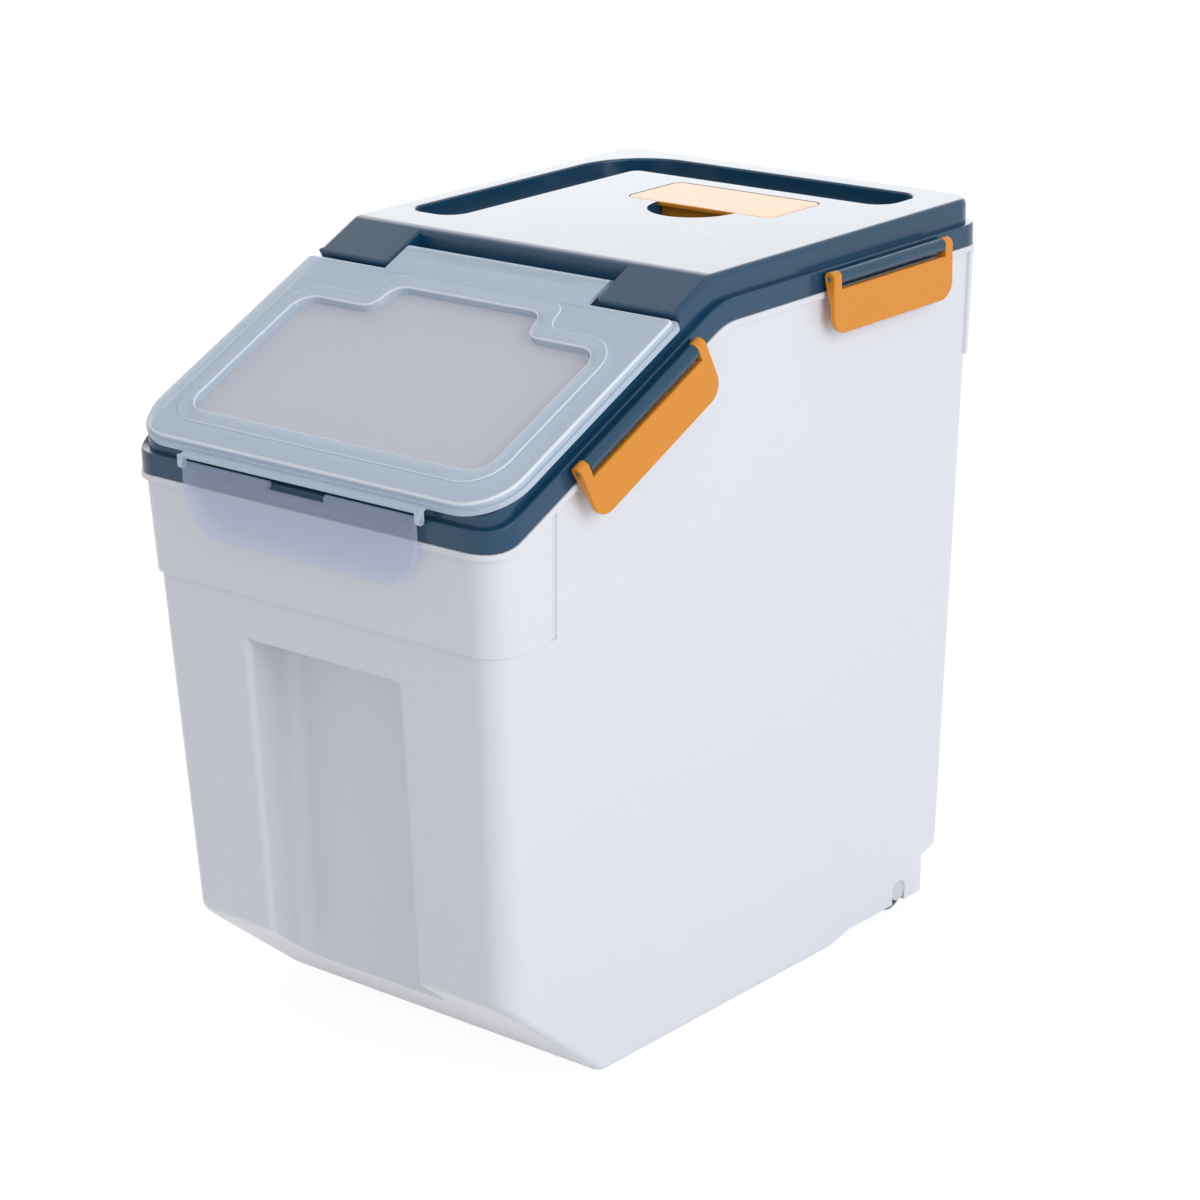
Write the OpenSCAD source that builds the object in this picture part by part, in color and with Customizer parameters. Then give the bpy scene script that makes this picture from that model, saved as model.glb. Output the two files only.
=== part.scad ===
// Wheeled rice bin with a clip-down lid, a sloped flip lid and a moisture box.
// Millimetres. +X is the bin's right side, +Y its back, +Z up.
// The origin is on the floor, under the middle of the whole bin.

/* [Bin rim] */
// Width over the rim
rim_w = 255; // [235:1:290]
// Length of the rim, front to back
rim_l = 400; // [380:1:440]
// Height of the rim's underside at the front
rim_front_h = 297; // [280:1:315]
// Rise of the rim from front to back
rim_rise = 78; // [60:1:95]
// Level stretch of the rim behind its front edge
rim_level_l = 11; // [8:0.5:20]
// Slope of the rim between the two heights
slope_a = 25.5; // [22:0.5:29]
// Bend radius of the rim at both ends of the slope
rim_bend_r = 36; // [31:1:44]
// Plan radius of the rim's corners
rim_r = 20; // [17:0.5:24]
// Thickness of the rim flange
flange_t = 3.5; // [2.5:0.1:5]
// Overhang of the rim past the wall
rim_over = 5; // [4:0.1:7]
// Height of the raised lip above the rim's underside
lip_h = 8; // [6:0.1:9]
// Thickness of the raised lip
lip_t = 2.4; // [1.6:0.1:3]

/* [Bin body] */
// Wall thickness
wall = 2.6; // [2:0.1:3.4]
// Width of the body at floor level
base_w = 223; // [204:1:240]
// How far the front wall leans in from rim to floor
front_lean = 10.5; // [6:0.5:16]
// How far the rear wall leans in from rim to floor
rear_lean = 10.5; // [6:0.5:16]
// Plan radius of the body's corners
corner_r = 15; // [10:0.5:20]
// Length of the undercut below the front wall
sled_run = 69; // [50:1:80]
// Height of the front wall's lower edge
sled_h = 60; // [40:1:70]
// How proud the collar band stands
collar_proud = 2.2; // [1.5:0.1:2.4]
// Depth of the collar below the rim at the front
collar_front_drop = 50; // [30:1:60]
// Depth of the collar below the rim at the back
collar_rear_drop = 57; // [30:1:70]
// Reach of the collar round the front corners, from the rim's front edge
collar_front_wrap = 43; // [30:1:60]
// Reach of the collar round the rear corners, from the rim's rear edge
collar_rear_wrap = 17; // [15:1:30]

/* [Hand hold] */
// Width of the hand hold in the front wall
grip_w = 104; // [80:1:130]
// Height of its top edge
grip_top_h = 221; // [180:1:235]
// Depth of the hand hold
grip_depth = 25; // [18:1:32]
// Radius of its inner corners
grip_r = 9; // [5:0.5:12]
// Radius of its rounded outer edges
grip_edge_r = 4; // [2:0.5:6]

/* [Wheels] */
// Wheel radius
wheel_r = 13.4; // [12:0.1:15]
// Wheel width
wheel_w = 16; // [12:1:17]
// Distance of the axles from the rear edge of the rim
axle_inset = 58.4; // [54:0.2:64]
// Radius of the axle's journal
axle_r = 3.5; // [2.5:0.1:4.5]
// Radius of the axle's end that sits in the side wall
axle_end_r = 6; // [5:0.1:6.4]
// Running clearance of the wheels on their axles
run_gap = 0.06; // [0.02:0.01:0.09]
// Length of the wheel housing, front to back
house_l = 42; // [38:1:46]
// Height of the wheel housing
house_h = 30; // [29:0.5:36]
// Ground clearance of the housing's skirt
heel_h = 6; // [4:0.5:8]

/* [Lid frame] */
// Wall of the lid
lid_wall = 2.5; // [2:0.1:3]
// Height of the lid's top above the rim's underside
lid_h = 28; // [27:0.5:32]
// Height of the lid's skirt step above the rim's underside
step_h = 15; // [14.5:0.1:16.5]
// Setback of the skirt from the rim's edge
skirt_set = 0.8; // [0.5:0.1:1.5]
// Setback of the upper tier from the skirt
tier_set = 4; // [3:0.1:5]
// Clearance between pieces that only meet
gap = 0.3; // [0.25:0.01:0.4]
// Distance of the hinge well's rear wall from the deck's front edge
well_back = 4; // [3:0.5:8]
// Length of the ears beside the flip lid's tongue
ear_l = 32.3; // [30:0.1:36]
// Plan radius of the ears' front corners
ear_r = 4; // [3:0.5:6]
// Distance of the pour opening from the flip lid's side edges
mouth_side = 21.7; // [20.7:0.1:36]
// Depth of the inner lip below the rim's underside
inner_lip_drop = 4; // [2:0.5:5]

/* [Storage trough in the deck] */
// Width of the trough
trough_w = 34; // [26:1:36]
// Depth of the trough
trough_d = 8; // [5:0.5:9]
// Distance of the trough's middle from the rim's side edge
trough_side = 34.5; // [32:0.5:40]
// Distance of the trough's middle from the rim's rear edge
trough_rear = 37; // [34:0.5:42]
// Bend radius of the trough's middle line
trough_bend = 24; // [23:1:32]
// Distance of the trough's front end from the deck's front edge
trough_front = 27; // [20:1:40]
// Distance of the trough's right end from the rim's side edge
trough_right = 30.5; // [28:0.5:50]

/* [Flip lid] */
// Thickness of the flip lid's skin
flip_t = 2.4; // [1.8:0.1:2.8]
// Depth of the flip lid's edge
flip_edge_h = 6.2; // [5.8:0.1:7]
// Plan radius of its front corners
flip_r = 28; // [20:1:34]
// Width of the step round its edge
flip_step_w = 1.8; // [1:0.1:2.4]
// Depth of that step below the flip lid's top
flip_step_d = 3; // [2.6:0.1:3.2]
// Width of the tongue
tongue_w = 138; // [110:1:150]
// Depth of the window below the flip lid's top
window_d = 4; // [2:0.1:4.5]
// Width of the window's bay towards the hinge
bay_w = 108; // [80:1:124]
// Length of the bay
bay_l = 19; // [8:0.5:21]
// Height of the bead round the window
bead_h = 0.9; // [0.4:0.1:1.2]
// Width of the bead
bead_w = 9; // [5:0.5:10]
// Radius of the tongue's hinge barrel
hinge_r = 5; // [4.5:0.1:5.4]
// Distance of the hinge axis from the deck's front edge
hinge_back = 18; // [17:0.5:20]
// Radius of the hinge pins
hinge_pin_r = 2; // [1.5:0.1:2.5]
// Length of each hinge pin
hinge_pin_l = 22; // [16:1:30]

/* [Front latch] */
// Width of the latch
latch_w = 160; // [120:1:180]
// Height of the latch
latch_h = 40; // [34:1:44]
// Thickness of the latch
latch_t = 2; // [1.5:0.1:2.2]
// Width of the slot between its hinge barrels
latch_slot_w = 40; // [20:1:60]
// Radius of its lower corners
latch_r = 24; // [12:1:28]
// Radius of its hinge barrels
latch_barrel_r = 2.1; // [1.9:0.05:2.2]
// Radius of its hinge studs
latch_stud_r = 1.2; // [0.9:0.05:1.3]
// How far the latch stands in front of the rim
latch_proud = 4; // [3.8:0.1:5]

/* [Side clips] */
// Length of a clip
clip_l = 104; // [80:1:110]
// Width of each ear of a clip
clip_ear_w = 6.5; // [4:0.5:8]
// Radius of the ears
clip_ear_r = 3.8; // [3.4:0.1:4]
// Thickness of a clip's plate
clip_t = 2.5; // [2:0.1:3]
// Height of the clip pins above the rim's underside
clip_pin_h = 10.5; // [9:0.1:10.8]
// Distance of the clip pins outside the rim's edge
clip_pin_out = 3.5; // [3.4:0.1:4.5]
// Radius of the clip pins
clip_pin_r = 1.5; // [1:0.1:1.8]
// Reach of a clip below the rim's underside
clip_drop = 21; // [15:0.5:28]
// Distance of the rear clips' middle from the rim's rear edge
clip_rear_at = 96; // [80:1:110]
// Distance of the front clips' middle from the deck's front edge, along the slope
clip_front_at = 82; // [74:1:88]

/* [Moisture box] */
// Width of the cover
cover_w = 100; // [80:1:110]
// Depth of the cover, front to back
cover_d = 46; // [38:1:52]
// Thickness of the cover
cover_t = 2.2; // [1.6:0.1:2.6]
// Distance of the cover's middle right of the bin's middle
cover_x = 16.5; // [10:0.5:22]
// Distance of the cover from the deck's front edge
cover_front = 118.8; // [112:0.1:124]
// Radius of the finger scoop in front of the cover
scoop_r = 26.5; // [18:0.5:30]
// Depth of the box below the deck
box_h = 19; // [12:0.5:21]
// Wall of the box
box_wall = 1.4; // [1:0.1:2]

/* [Hidden] */

$fn = 48;
hull_fn = 32;
small_fn = 24;
bend_steps = 6;
far = 500;
eps = 0.01;

// The rim's front and rear edges: only the latch stands in front of it.
front_y = latch_proud - (rim_l + latch_proud) / 2;
rear_y = front_y + rim_l;
half_w = rim_w / 2;

// The rim's side profile: level, bend, slope, bend, level.
rim_rear_h = rim_front_h + rim_rise;
slope_y0 = front_y + rim_level_l;
slope_y1 = slope_y0 + rim_rise / tan(slope_a);
bend_l = rim_bend_r * tan(slope_a / 2);
dip_y = slope_y0 - bend_l;
crest_y = slope_y1 + bend_l;

// The deck's front edge, where the lid's level top meets its slope.
deck_z = rim_rear_h + lid_h;
fold_y = slope_y1 - lid_h * tan(slope_a / 2);

// Insets from the rim's edge, in plan.
skirt_in = skirt_set + lid_wall;
tier_out = skirt_set + tier_set;
tier_in = tier_out + lid_wall;
mouth_in = rim_over + wall;
lip_out = mouth_in - lip_t;
plug_out = mouth_in + 4 * gap;
plug_in = plug_out + 2;

// Levels on the slope, down from the flip lid's top.
seat_v = -5.5;
well_v = -(2 * hinge_r + 2);
hinge_v = -hinge_r;

// The flip lid's outline on the slope.
flip_half_w = half_w - skirt_set;
flip_front_u = -(fold_y - front_y) / cos(slope_a) - 0.5;
flip_rear_u = -ear_l - 1.3;
notch_half_w = tongue_w / 2 + 2;

// The pour opening, and the seal round it.
mouth_w = 2 * (flip_half_w - mouth_side);
mouth_u0 = flip_front_u + 20.5;
mouth_u1 = flip_rear_u - 30.5;
mouth_r = 14;
bay_r = 8;
seal_gap = 3.5;
seal_w = 3;
// The window's tray hangs inside the mouth.
tray_gap = 1;

// Body underside: undercut nose, flat base, ramp up to the heel, ledge at the back.
nose_y = front_at(0) + sled_run;
nose_k = sled_h / (nose_y - front_at(sled_h));
nose_l = 1.75 * sled_run;
heel_y = rear_y - axle_inset + house_l / 2;
house_y = heel_y - house_l;
ramp_l = 22;
ramp_y = house_y - ramp_l - 26;
ledge_h = house_h - 1.5;
ledge_k = 0.25;

// Hand hold.
grip_y = front_at(sled_h) + grip_depth;
front_tilt = atan(front_lean / rim_front_h);

// Wheels and axles.
axle_y = rear_y - axle_inset;
wheel_out = side_x(wheel_r) - wall - 3;
wheel_in = wheel_out - wheel_w;
rib_t = 2.5;
rib_x = wheel_in - 1.5 - rib_t;
seat_gap = 0.03;

// Front latch: its hinge axis, and the catch it hooks under.
latch_axis_y = front_y - latch_proud + latch_barrel_r;
latch_axis_z = slope_z(latch_axis_y, -flip_edge_h) - latch_barrel_r - 1.2;
latch_top = latch_axis_z + latch_barrel_r;
stud_l = 3.4;
bead_r = 1.2;
catch_y = front_y - 0.7;
catch_z = latch_axis_z - 7.2;
catch_h = 2;

// Side clips.
clip_x = half_w + clip_pin_out;
clip_corner_r = 10;
hook_t = 2;
hook_in = clip_pin_out - 0.4;
knuckle_l = clip_l - 2 * clip_ear_w - 2 * gap;

// The storage trough's rounded ends.
trough_end_r = 12;

// Moisture box.
cover_y = fold_y + cover_front + cover_d / 2;
cover_r = 6;
cover_fit = 0.4;
ledge_w = 3;
cover_seat = cover_t + gap;
box_floor_z = deck_z - cover_seat - gap - box_h;
scoop_d = 13;

// Half width of the body, and its front and rear faces, at a height.
function side_x(z) = base_w / 2 + (half_w - rim_over - base_w / 2) * z / rim_front_h;
function front_at(z) = front_y + rim_over + front_lean * (1 - z / rim_front_h);
function rear_at(z) = rear_y - rim_over - rear_lean * (1 - z / rim_rear_h);

// Points of an arc about c, from angle a0 to a1.
function arc(c, r, a0, a1) =
    [for (i = [0:bend_steps]) let(a = a0 + (a1 - a0) * i / bend_steps) c + r * [cos(a), sin(a)]];

// The rim's profile at distance d above its underside, front to back, as [y, z].
function rim_path(d) = concat(
    [[front_y - 10, rim_front_h + d]],
    arc([dip_y, rim_front_h + rim_bend_r], rim_bend_r - d, -90, slope_a - 90),
    arc([crest_y, rim_rear_h - rim_bend_r], rim_bend_r + d, 90 + slope_a, 90),
    [[rear_y + 10, rim_rear_h + d]]);

// The lid's top profile, v above it: slope, fold, level deck.
function top_path(v) = [
    [front_y - 10, slope_z(front_y - 10, v)],
    [fold_y - v * tan(slope_a / 2), deck_z + v],
    [rear_y + 10, deck_z + v]];

// The underside of the body as [y, z], t inside its skin.
function underside(t) = let(lift = t * sqrt(1 + nose_k * nose_k)) [
    [nose_y - nose_l, nose_l * nose_k + lift],
    [nose_y + (lift - t) / nose_k, t],
    [ramp_y, t],
    [ramp_y + ramp_l, heel_h + t]];

function backwards(pts) = [for (i = [len(pts) - 1:-1:0]) pts[i]];
function between(low, high) = concat(low, backwards(high));
function under(path) = concat(path, [[rear_y + 10, -10], [front_y - 10, -10]]);

// A point of the slope: u up the slope from the deck's front edge, v above the flip lid's top.
function slope_pt(u, v) =
    [fold_y + u * cos(slope_a) - v * sin(slope_a), deck_z + u * sin(slope_a) + v * cos(slope_a)];
// Height of the level v of the slope at a given y.
function slope_z(y, v) = deck_z + (y - fold_y) * tan(slope_a) + v / cos(slope_a);

// Extrudes a side profile of [y, z] points to both sides of the middle.
module across(pts, w = 2 * far) {
    translate([-w / 2, 0, 0]) rotate([90, 0, 90]) linear_extrude(w) polygon(pts);
}

// A rectangle with round corners, centred across, from y0 to y1.
module rounded(w, y0, y1, r) {
    for (side = [-1, 1]) {
        translate([side * (w / 2 - r), y0 + r]) circle(r);
        translate([side * (w / 2 - r), y1 - r]) circle(r);
    }
    translate([-w / 2 + r, y0]) square([w - 2 * r, y1 - y0]);
    translate([-w / 2, y0 + r]) square([w, y1 - y0 - 2 * r]);
}

// The rim's plan, drawn in from its edge.
module rim_plan(inset) {
    rounded(rim_w - 2 * inset, front_y + inset, rear_y - inset, rim_r - inset);
}

module rim_block(inset) {
    linear_extrude(far) rim_plan(inset);
}

// A ring between two insets and two distances above the rim's underside.
module rim_ring(in0, in1, d0, d1) {
    intersection() {
        linear_extrude(far) difference() {
            rim_plan(in0);
            rim_plan(in1);
        }
        across(between(rim_path(d0), rim_path(d1)));
    }
}

// Places its children on the slope: x across, y up the slope, z off it.
module on_slope() {
    translate([0, fold_y, deck_z]) rotate([slope_a, 0, 0]) children();
}

// A bar lying along x, from x0 to x1, about the point [y, z].
module bar_x(x0, x1, at, r, fn = $fn) {
    translate([x0, at[0], at[1]]) rotate([0, 90, 0]) cylinder(h = x1 - x0, r = r, $fn = fn);
}

// ---- Bin ----

// One level slice of the body, grown outwards by g.
module body_slice(z, g) {
    translate([0, 0, z]) linear_extrude(eps)
        rounded(2 * (side_x(z) + g), front_at(z) - g, rear_at(z) + g, corner_r + g, $fn = hull_fn);
}

// The tapered body, grown outwards by g.
module body_block(g) {
    hull() {
        body_slice(-5, g);
        body_slice(deck_z, g);
    }
}

// The space of the hand hold, with its walls when grown by g.
module grip_block(g) {
    translate([0, 0, -10]) linear_extrude(grip_top_h + g + 10)
        rounded(grip_w + 2 * g, front_y - 50, grip_y + g, grip_r + g);
}

// Rounds the hand hold's outer edges.
module grip_edges() {
    r = grip_edge_r;
    for (side = [0, 1]) mirror([side, 0, 0])
        translate([grip_w / 2, front_at(0), 0]) rotate([front_tilt, 0, 0]) linear_extrude(grip_top_h + 1)
            corner_cut(r);
    translate([-grip_w / 2, front_at(grip_top_h), grip_top_h]) rotate([90, 0, 90]) linear_extrude(grip_w)
        corner_cut(r);
}

// What rounding the corner at the origin takes off.
module corner_cut(r) {
    difference() {
        translate([-1, -1]) square(r + 1);
        translate([r, r]) circle(r);
    }
}

// Everything above the outside of the underside.
module above_underside() {
    across(concat(underside(0), [
        [heel_y, heel_h],
        [heel_y, ledge_h],
        [rear_y + 50, ledge_h + ledge_k * (rear_y + 50 - heel_y)],
        [rear_y + 50, far],
        [nose_y - nose_l, far]]));
}

// Everything above the floor inside the bin.
module above_floor() {
    across(concat(underside(wall), [
        [house_y - wall, heel_h + wall],
        [house_y - wall, house_h + wall],
        [heel_y, house_h + wall],
        [rear_y + 50, house_h + wall + ledge_k * (rear_y + 50 - heel_y)],
        [rear_y + 50, far],
        [nose_y - nose_l, far]]));
}

// An inverted-U seat for an axle, open below through a narrower mouth.
module axle_seat(x0, x1, r) {
    bar_x(x0, x1, [axle_y, wheel_r], r);
    translate([x0, axle_y - r + 0.3, 0]) cube([x1 - x0, 2 * r - 0.6, wheel_r]);
}

// The ribs that hold the axles' inner ends.
module wheel_supports() {
    for (side = [-1, 1]) translate([side * (rib_x + rib_t / 2) - rib_t / 2, house_y, heel_h])
        cube([rib_t, heel_y - house_y - wall, house_h - heel_h + 1]);
}

// Pads that thicken the side walls round the axles' ends.
module axle_pads() {
    pad_r = axle_end_r + 3;
    intersection() {
        for (side = [-1, 1]) translate([side * (wheel_out + far / 2 + 0.5), axle_y, 0])
            translate([-far / 2, -pad_r, heel_h]) cube([far, 2 * pad_r, wheel_r + pad_r - heel_h]);
        body_block(-wall / 2);
    }
}

module bin_shell() {
    color("#e8ebf1") {
        difference() {
            union() {
                difference() {
                    intersection() {
                        body_block(0);
                        above_underside();
                        across(under(rim_path(flange_t)));
                    }
                    intersection() {
                        body_block(-wall);
                        difference() {
                            above_floor();
                            grip_block(wall);
                        }
                    }
                    grip_block(0);
                    grip_edges();
                    translate([-side_x(0) + wall, house_y, -1])
                        cube([2 * (side_x(0) - wall), heel_y - house_y - wall, house_h + 1]);
                }
                wheel_supports();
                axle_pads();
            }
            for (side = [-1, 1]) {
                mirror([side < 0 ? 1 : 0, 0, 0])
                    axle_seat(wheel_out, wheel_out + 30, axle_end_r + seat_gap);
                axle_seat(side * rib_x - 5, side * rib_x + 5, axle_r + seat_gap);
            }
        }
        collar();
        rim_ring(0, mouth_in, 0, flange_t);
        rim_ring(lip_out, mouth_in, flange_t - eps, lip_h);
    }
}

// The thicker band below the rim, at the front and at the back.
module collar() {
    difference() {
        intersection() {
            body_block(collar_proud);
            across(under(rim_path(0.5)));
            union() {
                translate([-far / 2, front_y - 10, rim_front_h - collar_front_drop])
                    cube([far, collar_front_wrap + 10, far]);
                translate([-far / 2, rear_y - collar_rear_wrap, rim_rear_h - collar_rear_drop])
                    cube([far, far, far]);
            }
        }
        body_block(-wall / 2);
    }
}

// An axle: a head seated in the side wall and a journal held in the rib.
module axle(side) {
    color("#c9ced4") mirror([side < 0 ? 1 : 0, 0, 0]) {
        bar_x(wheel_out + 0.5, side_x(wheel_r) - 0.6, [axle_y, wheel_r], axle_end_r);
        bar_x(rib_x - 0.5, wheel_out + 1, [axle_y, wheel_r], axle_r);
    }
}

// A wheel: tread with rounded edges, dished sides and a hub.
module wheel(side) {
    bore_r = axle_r + run_gap;
    hub_r = axle_r + 2.5;
    rim_in = wheel_r - 3;
    e = 1.5;
    dish = 2;
    color("#5a5f66") mirror([side < 0 ? 1 : 0, 0, 0])
        translate([wheel_in, axle_y, wheel_r]) rotate([0, 90, 0]) rotate_extrude() polygon([
            [bore_r, 0], [hub_r, 0], [hub_r + 0.5, dish], [rim_in - 0.5, dish], [rim_in, 0],
            [wheel_r - e, 0], [wheel_r - 0.4, 0.6], [wheel_r, e],
            [wheel_r, wheel_w - e], [wheel_r - 0.4, wheel_w - 0.6], [wheel_r - e, wheel_w],
            [rim_in, wheel_w], [rim_in - 0.5, wheel_w - dish], [hub_r + 0.5, wheel_w - dish],
            [hub_r, wheel_w], [bore_r, wheel_w]]);
}

// ---- Lid frame ----

// The trough's plan: a left run, a bend and a rear run, grown by g.
module trough_plan(g) {
    w = trough_w + 2 * g;
    x0 = -half_w + trough_side;
    y1 = rear_y - trough_rear;
    y0 = fold_y + trough_front - g;
    x1 = half_w - trough_right + g;
    end_l = 40;
    translate([x0, y0]) run_end(w, end_l, trough_end_r + g);
    translate([x1, y1]) rotate(90) run_end(w, end_l, trough_end_r + g);
    intersection() {
        translate([x0 + trough_bend, y1 - trough_bend]) difference() {
            corner_block(trough_bend + w / 2);
            corner_block(trough_bend - w / 2);
        }
        translate([-far + x1 - end_l / 2, y0 + end_l / 2]) square(far);
    }
}

// A large block whose rear left corner is rounded about the origin.
module corner_block(r) {
    circle(r);
    translate([-r, -far]) square([far, far]);
    translate([0, -far]) square([far, far + r]);
}

// The end of a run: it starts with round corners and goes on along +y.
module run_end(w, l, r) {
    for (side = [-1, 1]) translate([side * (w / 2 - r), r]) circle(r);
    translate([-w / 2 + r, 0]) square([w - 2 * r, l]);
    translate([-w / 2, r]) square([w, l - r]);
}

// Plan of the cover, drawn in by g.
module cover_plan(g) {
    translate([cover_x, 0])
        rounded(cover_w - 2 * g, cover_y - cover_d / 2 + g, cover_y + cover_d / 2 - g,
            max(cover_r - g, 2));
}

module finger_scoop(g) {
    translate([cover_x, cover_y - cover_d / 2, deck_z - scoop_d - g])
        cylinder(h = far, r = scoop_r + g);
}

// Everything sunk into the lid's top; g leaves room for the skin underneath.
module lid_pockets(g) {
    // The lowered slope under the flip lid, the notch and the well for its barrel.
    on_slope() {
        translate([-far / 2, -far, seat_v - g]) cube([far, far - ear_l + g, far]);
        translate([-notch_half_w - g, -far, seat_v - g])
            cube([2 * (notch_half_w + g), far - hinge_back, far]);
        // The ears' front corners are round.
        for (side = [0, 1]) mirror([side, 0, 0]) translate([0, -ear_l + g, seat_v - g]) linear_extrude(far) {
            translate([notch_half_w + g, 0]) corner_cut(ear_r - g);
            translate([half_w - tier_out + 0.6 - g, 0]) mirror([1, 0, 0]) corner_cut(ear_r - g);
        }
        // The seat's front corners follow the flip lid's.
        translate([0, 0, -flip_edge_h - 0.6 - g]) linear_extrude(far) difference() {
            translate([-far / 2, -far]) square([far, far + flip_front_u + flip_r + 6]);
            flip_plan(flip_t + 1 + g);
        }
    }
    across([
        slope_pt(-hinge_back - 7.5 - g, 40),
        slope_pt(-hinge_back - 7.5 - g, well_v - g),
        [fold_y - well_back + g, slope_z(fold_y - well_back, well_v) - g],
        [fold_y - well_back + g, deck_z + 40]],
        2 * (notch_half_w + g));
    translate([0, 0, deck_z - trough_d - g]) linear_extrude(far) trough_plan(g);
    finger_scoop(g);
    translate([0, 0, deck_z - cover_seat - g]) linear_extrude(far) cover_plan(-cover_fit - g);
    translate([0, 0, box_floor_z - gap - g]) linear_extrude(far) cover_plan(ledge_w - cover_fit - g);
}

// The four clips' places: origin on the pin, x outwards, y along the pin, z up.
module at_clip(side, front) {
    mirror([side < 0 ? 1 : 0, 0, 0]) {
        if (front) on_slope() translate([clip_x, -clip_front_at, clip_pin_h - lid_h]) children();
        else translate([clip_x, rear_y - clip_rear_at, rim_rear_h + clip_pin_h]) children();
    }
}

// The barrel between a clip's ears, on a web from the lid's skirt.
module clip_knuckle() {
    web_l = clip_pin_out + skirt_in - 0.5;
    web_t = 4;
    difference() {
        union() {
            bar_y(knuckle_l, clip_ear_r);
            translate([-web_l, -knuckle_l / 2, -web_t / 2]) cube([web_l, knuckle_l, web_t]);
        }
        bar_y(knuckle_l + 2, clip_pin_r + seat_gap, small_fn);
    }
}

// A bar lying along y, centred on the origin.
module bar_y(l, r, fn = $fn) {
    translate([0, l / 2, 0]) rotate([90, 0, 0]) cylinder(h = l, r = r, $fn = fn);
}

// The mouth's plan on the slope, grown by g: a rectangle with a bay towards the hinge.
module mouth_plan(g) {
    rounded(mouth_w + 2 * g, mouth_u0 - g, mouth_u1 + g, mouth_r + g);
    rounded(bay_w + 2 * g, mouth_u1 - 3 * bay_r, mouth_u1 + bay_l + g, bay_r + g);
    for (side = [0, 1]) mirror([side, 0, 0]) translate([bay_w / 2 + g, mouth_u1 + g]) corner_cut(bay_r - g);
}

// The openings in the floors of the moisture box and of its well.
module vents() {
    for (i = [-2:2]) translate([cover_x + i * 14 - 2, cover_y - 12, -5]) cube([4, 24, 10]);
}

module lid_frame() {
    hinge_at = slope_pt(-hinge_back, hinge_v);
    color("#2d5a78") difference() {
        union() {
            difference() {
                union() {
                    intersection() {
                        rim_block(skirt_set);
                        across(between(rim_path(flange_t + gap), rim_path(step_h)));
                    }
                    intersection() {
                        rim_block(tier_out);
                        across(between(rim_path(step_h - 1), top_path(0)));
                    }
                }
                intersection() {
                    rim_block(skirt_in);
                    across(under(rim_path(step_h - lid_wall)));
                }
                difference() {
                    intersection() {
                        rim_block(tier_in);
                        across(under(top_path(-lid_wall)));
                    }
                    lid_pockets(lid_wall);
                }
                lid_pockets(0);
                on_slope() translate([0, 0, seat_v - 10]) linear_extrude(20) mouth_plan(0);
                translate([0, 0, box_floor_z]) vents();
            }
            rim_ring(skirt_set + 1, plug_in, step_h - lid_wall, step_h);
            rim_ring(plug_out, plug_in, -inner_lip_drop, step_h);
            for (side = [-1, 1]) {
                for (front = [0, 1]) at_clip(side, front) clip_knuckle();
                mirror([side < 0 ? 1 : 0, 0, 0])
                    bar_x(notch_half_w + 1, notch_half_w + 17, hinge_at, hinge_r - 0.5);
            }
            translate([-latch_w / 2 + 8, catch_y, catch_z]) cube([latch_w - 16, 2, catch_h]);
        }
        bar_x(-notch_half_w - 10, notch_half_w + 10, hinge_at, hinge_pin_r + seat_gap, small_fn);
    }
}

// The ring seal under the lid's step.
module lid_seal() {
    color("#d9dde2") rim_ring(mouth_in - 3, mouth_in - 0.3, lip_h + gap, step_h - lid_wall);
}

module hinge_pin(side) {
    x0 = notch_half_w + 9 - hinge_pin_l;
    color("#c9ced4") mirror([side < 0 ? 1 : 0, 0, 0])
        bar_x(x0, x0 + hinge_pin_l, slope_pt(-hinge_back, hinge_v), hinge_pin_r, small_fn);
}

// ---- Flip lid ----

// Outline of the flip lid's panel on the slope, drawn in by g.
module flip_plan(g) {
    r = flip_r - g;
    u0 = flip_front_u + g;
    u1 = flip_rear_u - g;
    w = flip_half_w - g;
    for (side = [-1, 1]) {
        translate([side * (w - r), u0 + r]) circle(r);
        translate([side * (w - 4), u1 - 4]) circle(4);
    }
    translate([-w + r, u0]) square([2 * (w - r), r]);
    translate([-w, u0 + r]) square([2 * w, u1 - u0 - r - 4]);
    translate([-w + 4, u1 - 8]) square([2 * (w - 4), 8]);
}

// A lug that carries one end of the latch.
module latch_lug(side) {
    lug_w = stud_l + 0.4;
    x0 = latch_w / 2 + gap;
    back_y = latch_axis_y + latch_barrel_r;
    mirror([side < 0 ? 1 : 0, 0, 0]) difference() {
        union() {
            bar_x(x0, x0 + lug_w, [latch_axis_y, latch_axis_z], latch_barrel_r, small_fn);
            translate([x0 + lug_w / 2, 0, 0]) across([
                [latch_axis_y - latch_barrel_r, latch_axis_z],
                [back_y, latch_axis_z],
                [back_y, latch_axis_z + 1.6],
                slope_pt(flip_front_u + 1.5, -flip_edge_h),
                slope_pt(flip_front_u + 1.5, -flip_step_d),
                slope_pt(flip_front_u, -flip_step_d),
                [latch_axis_y - latch_barrel_r, latch_top]],
                lug_w);
        }
        bar_x(x0 - 1, x0 + stud_l, [latch_axis_y, latch_axis_z], latch_stud_r + run_gap, small_fn);
    }
}

// A ring of the flip lid's outline between two insets and two levels.
module flip_ring(in0, in1, v0, v1) {
    translate([0, 0, v0]) linear_extrude(v1 - v0) difference() {
        flip_plan(in0);
        flip_plan(in1);
    }
}

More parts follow.
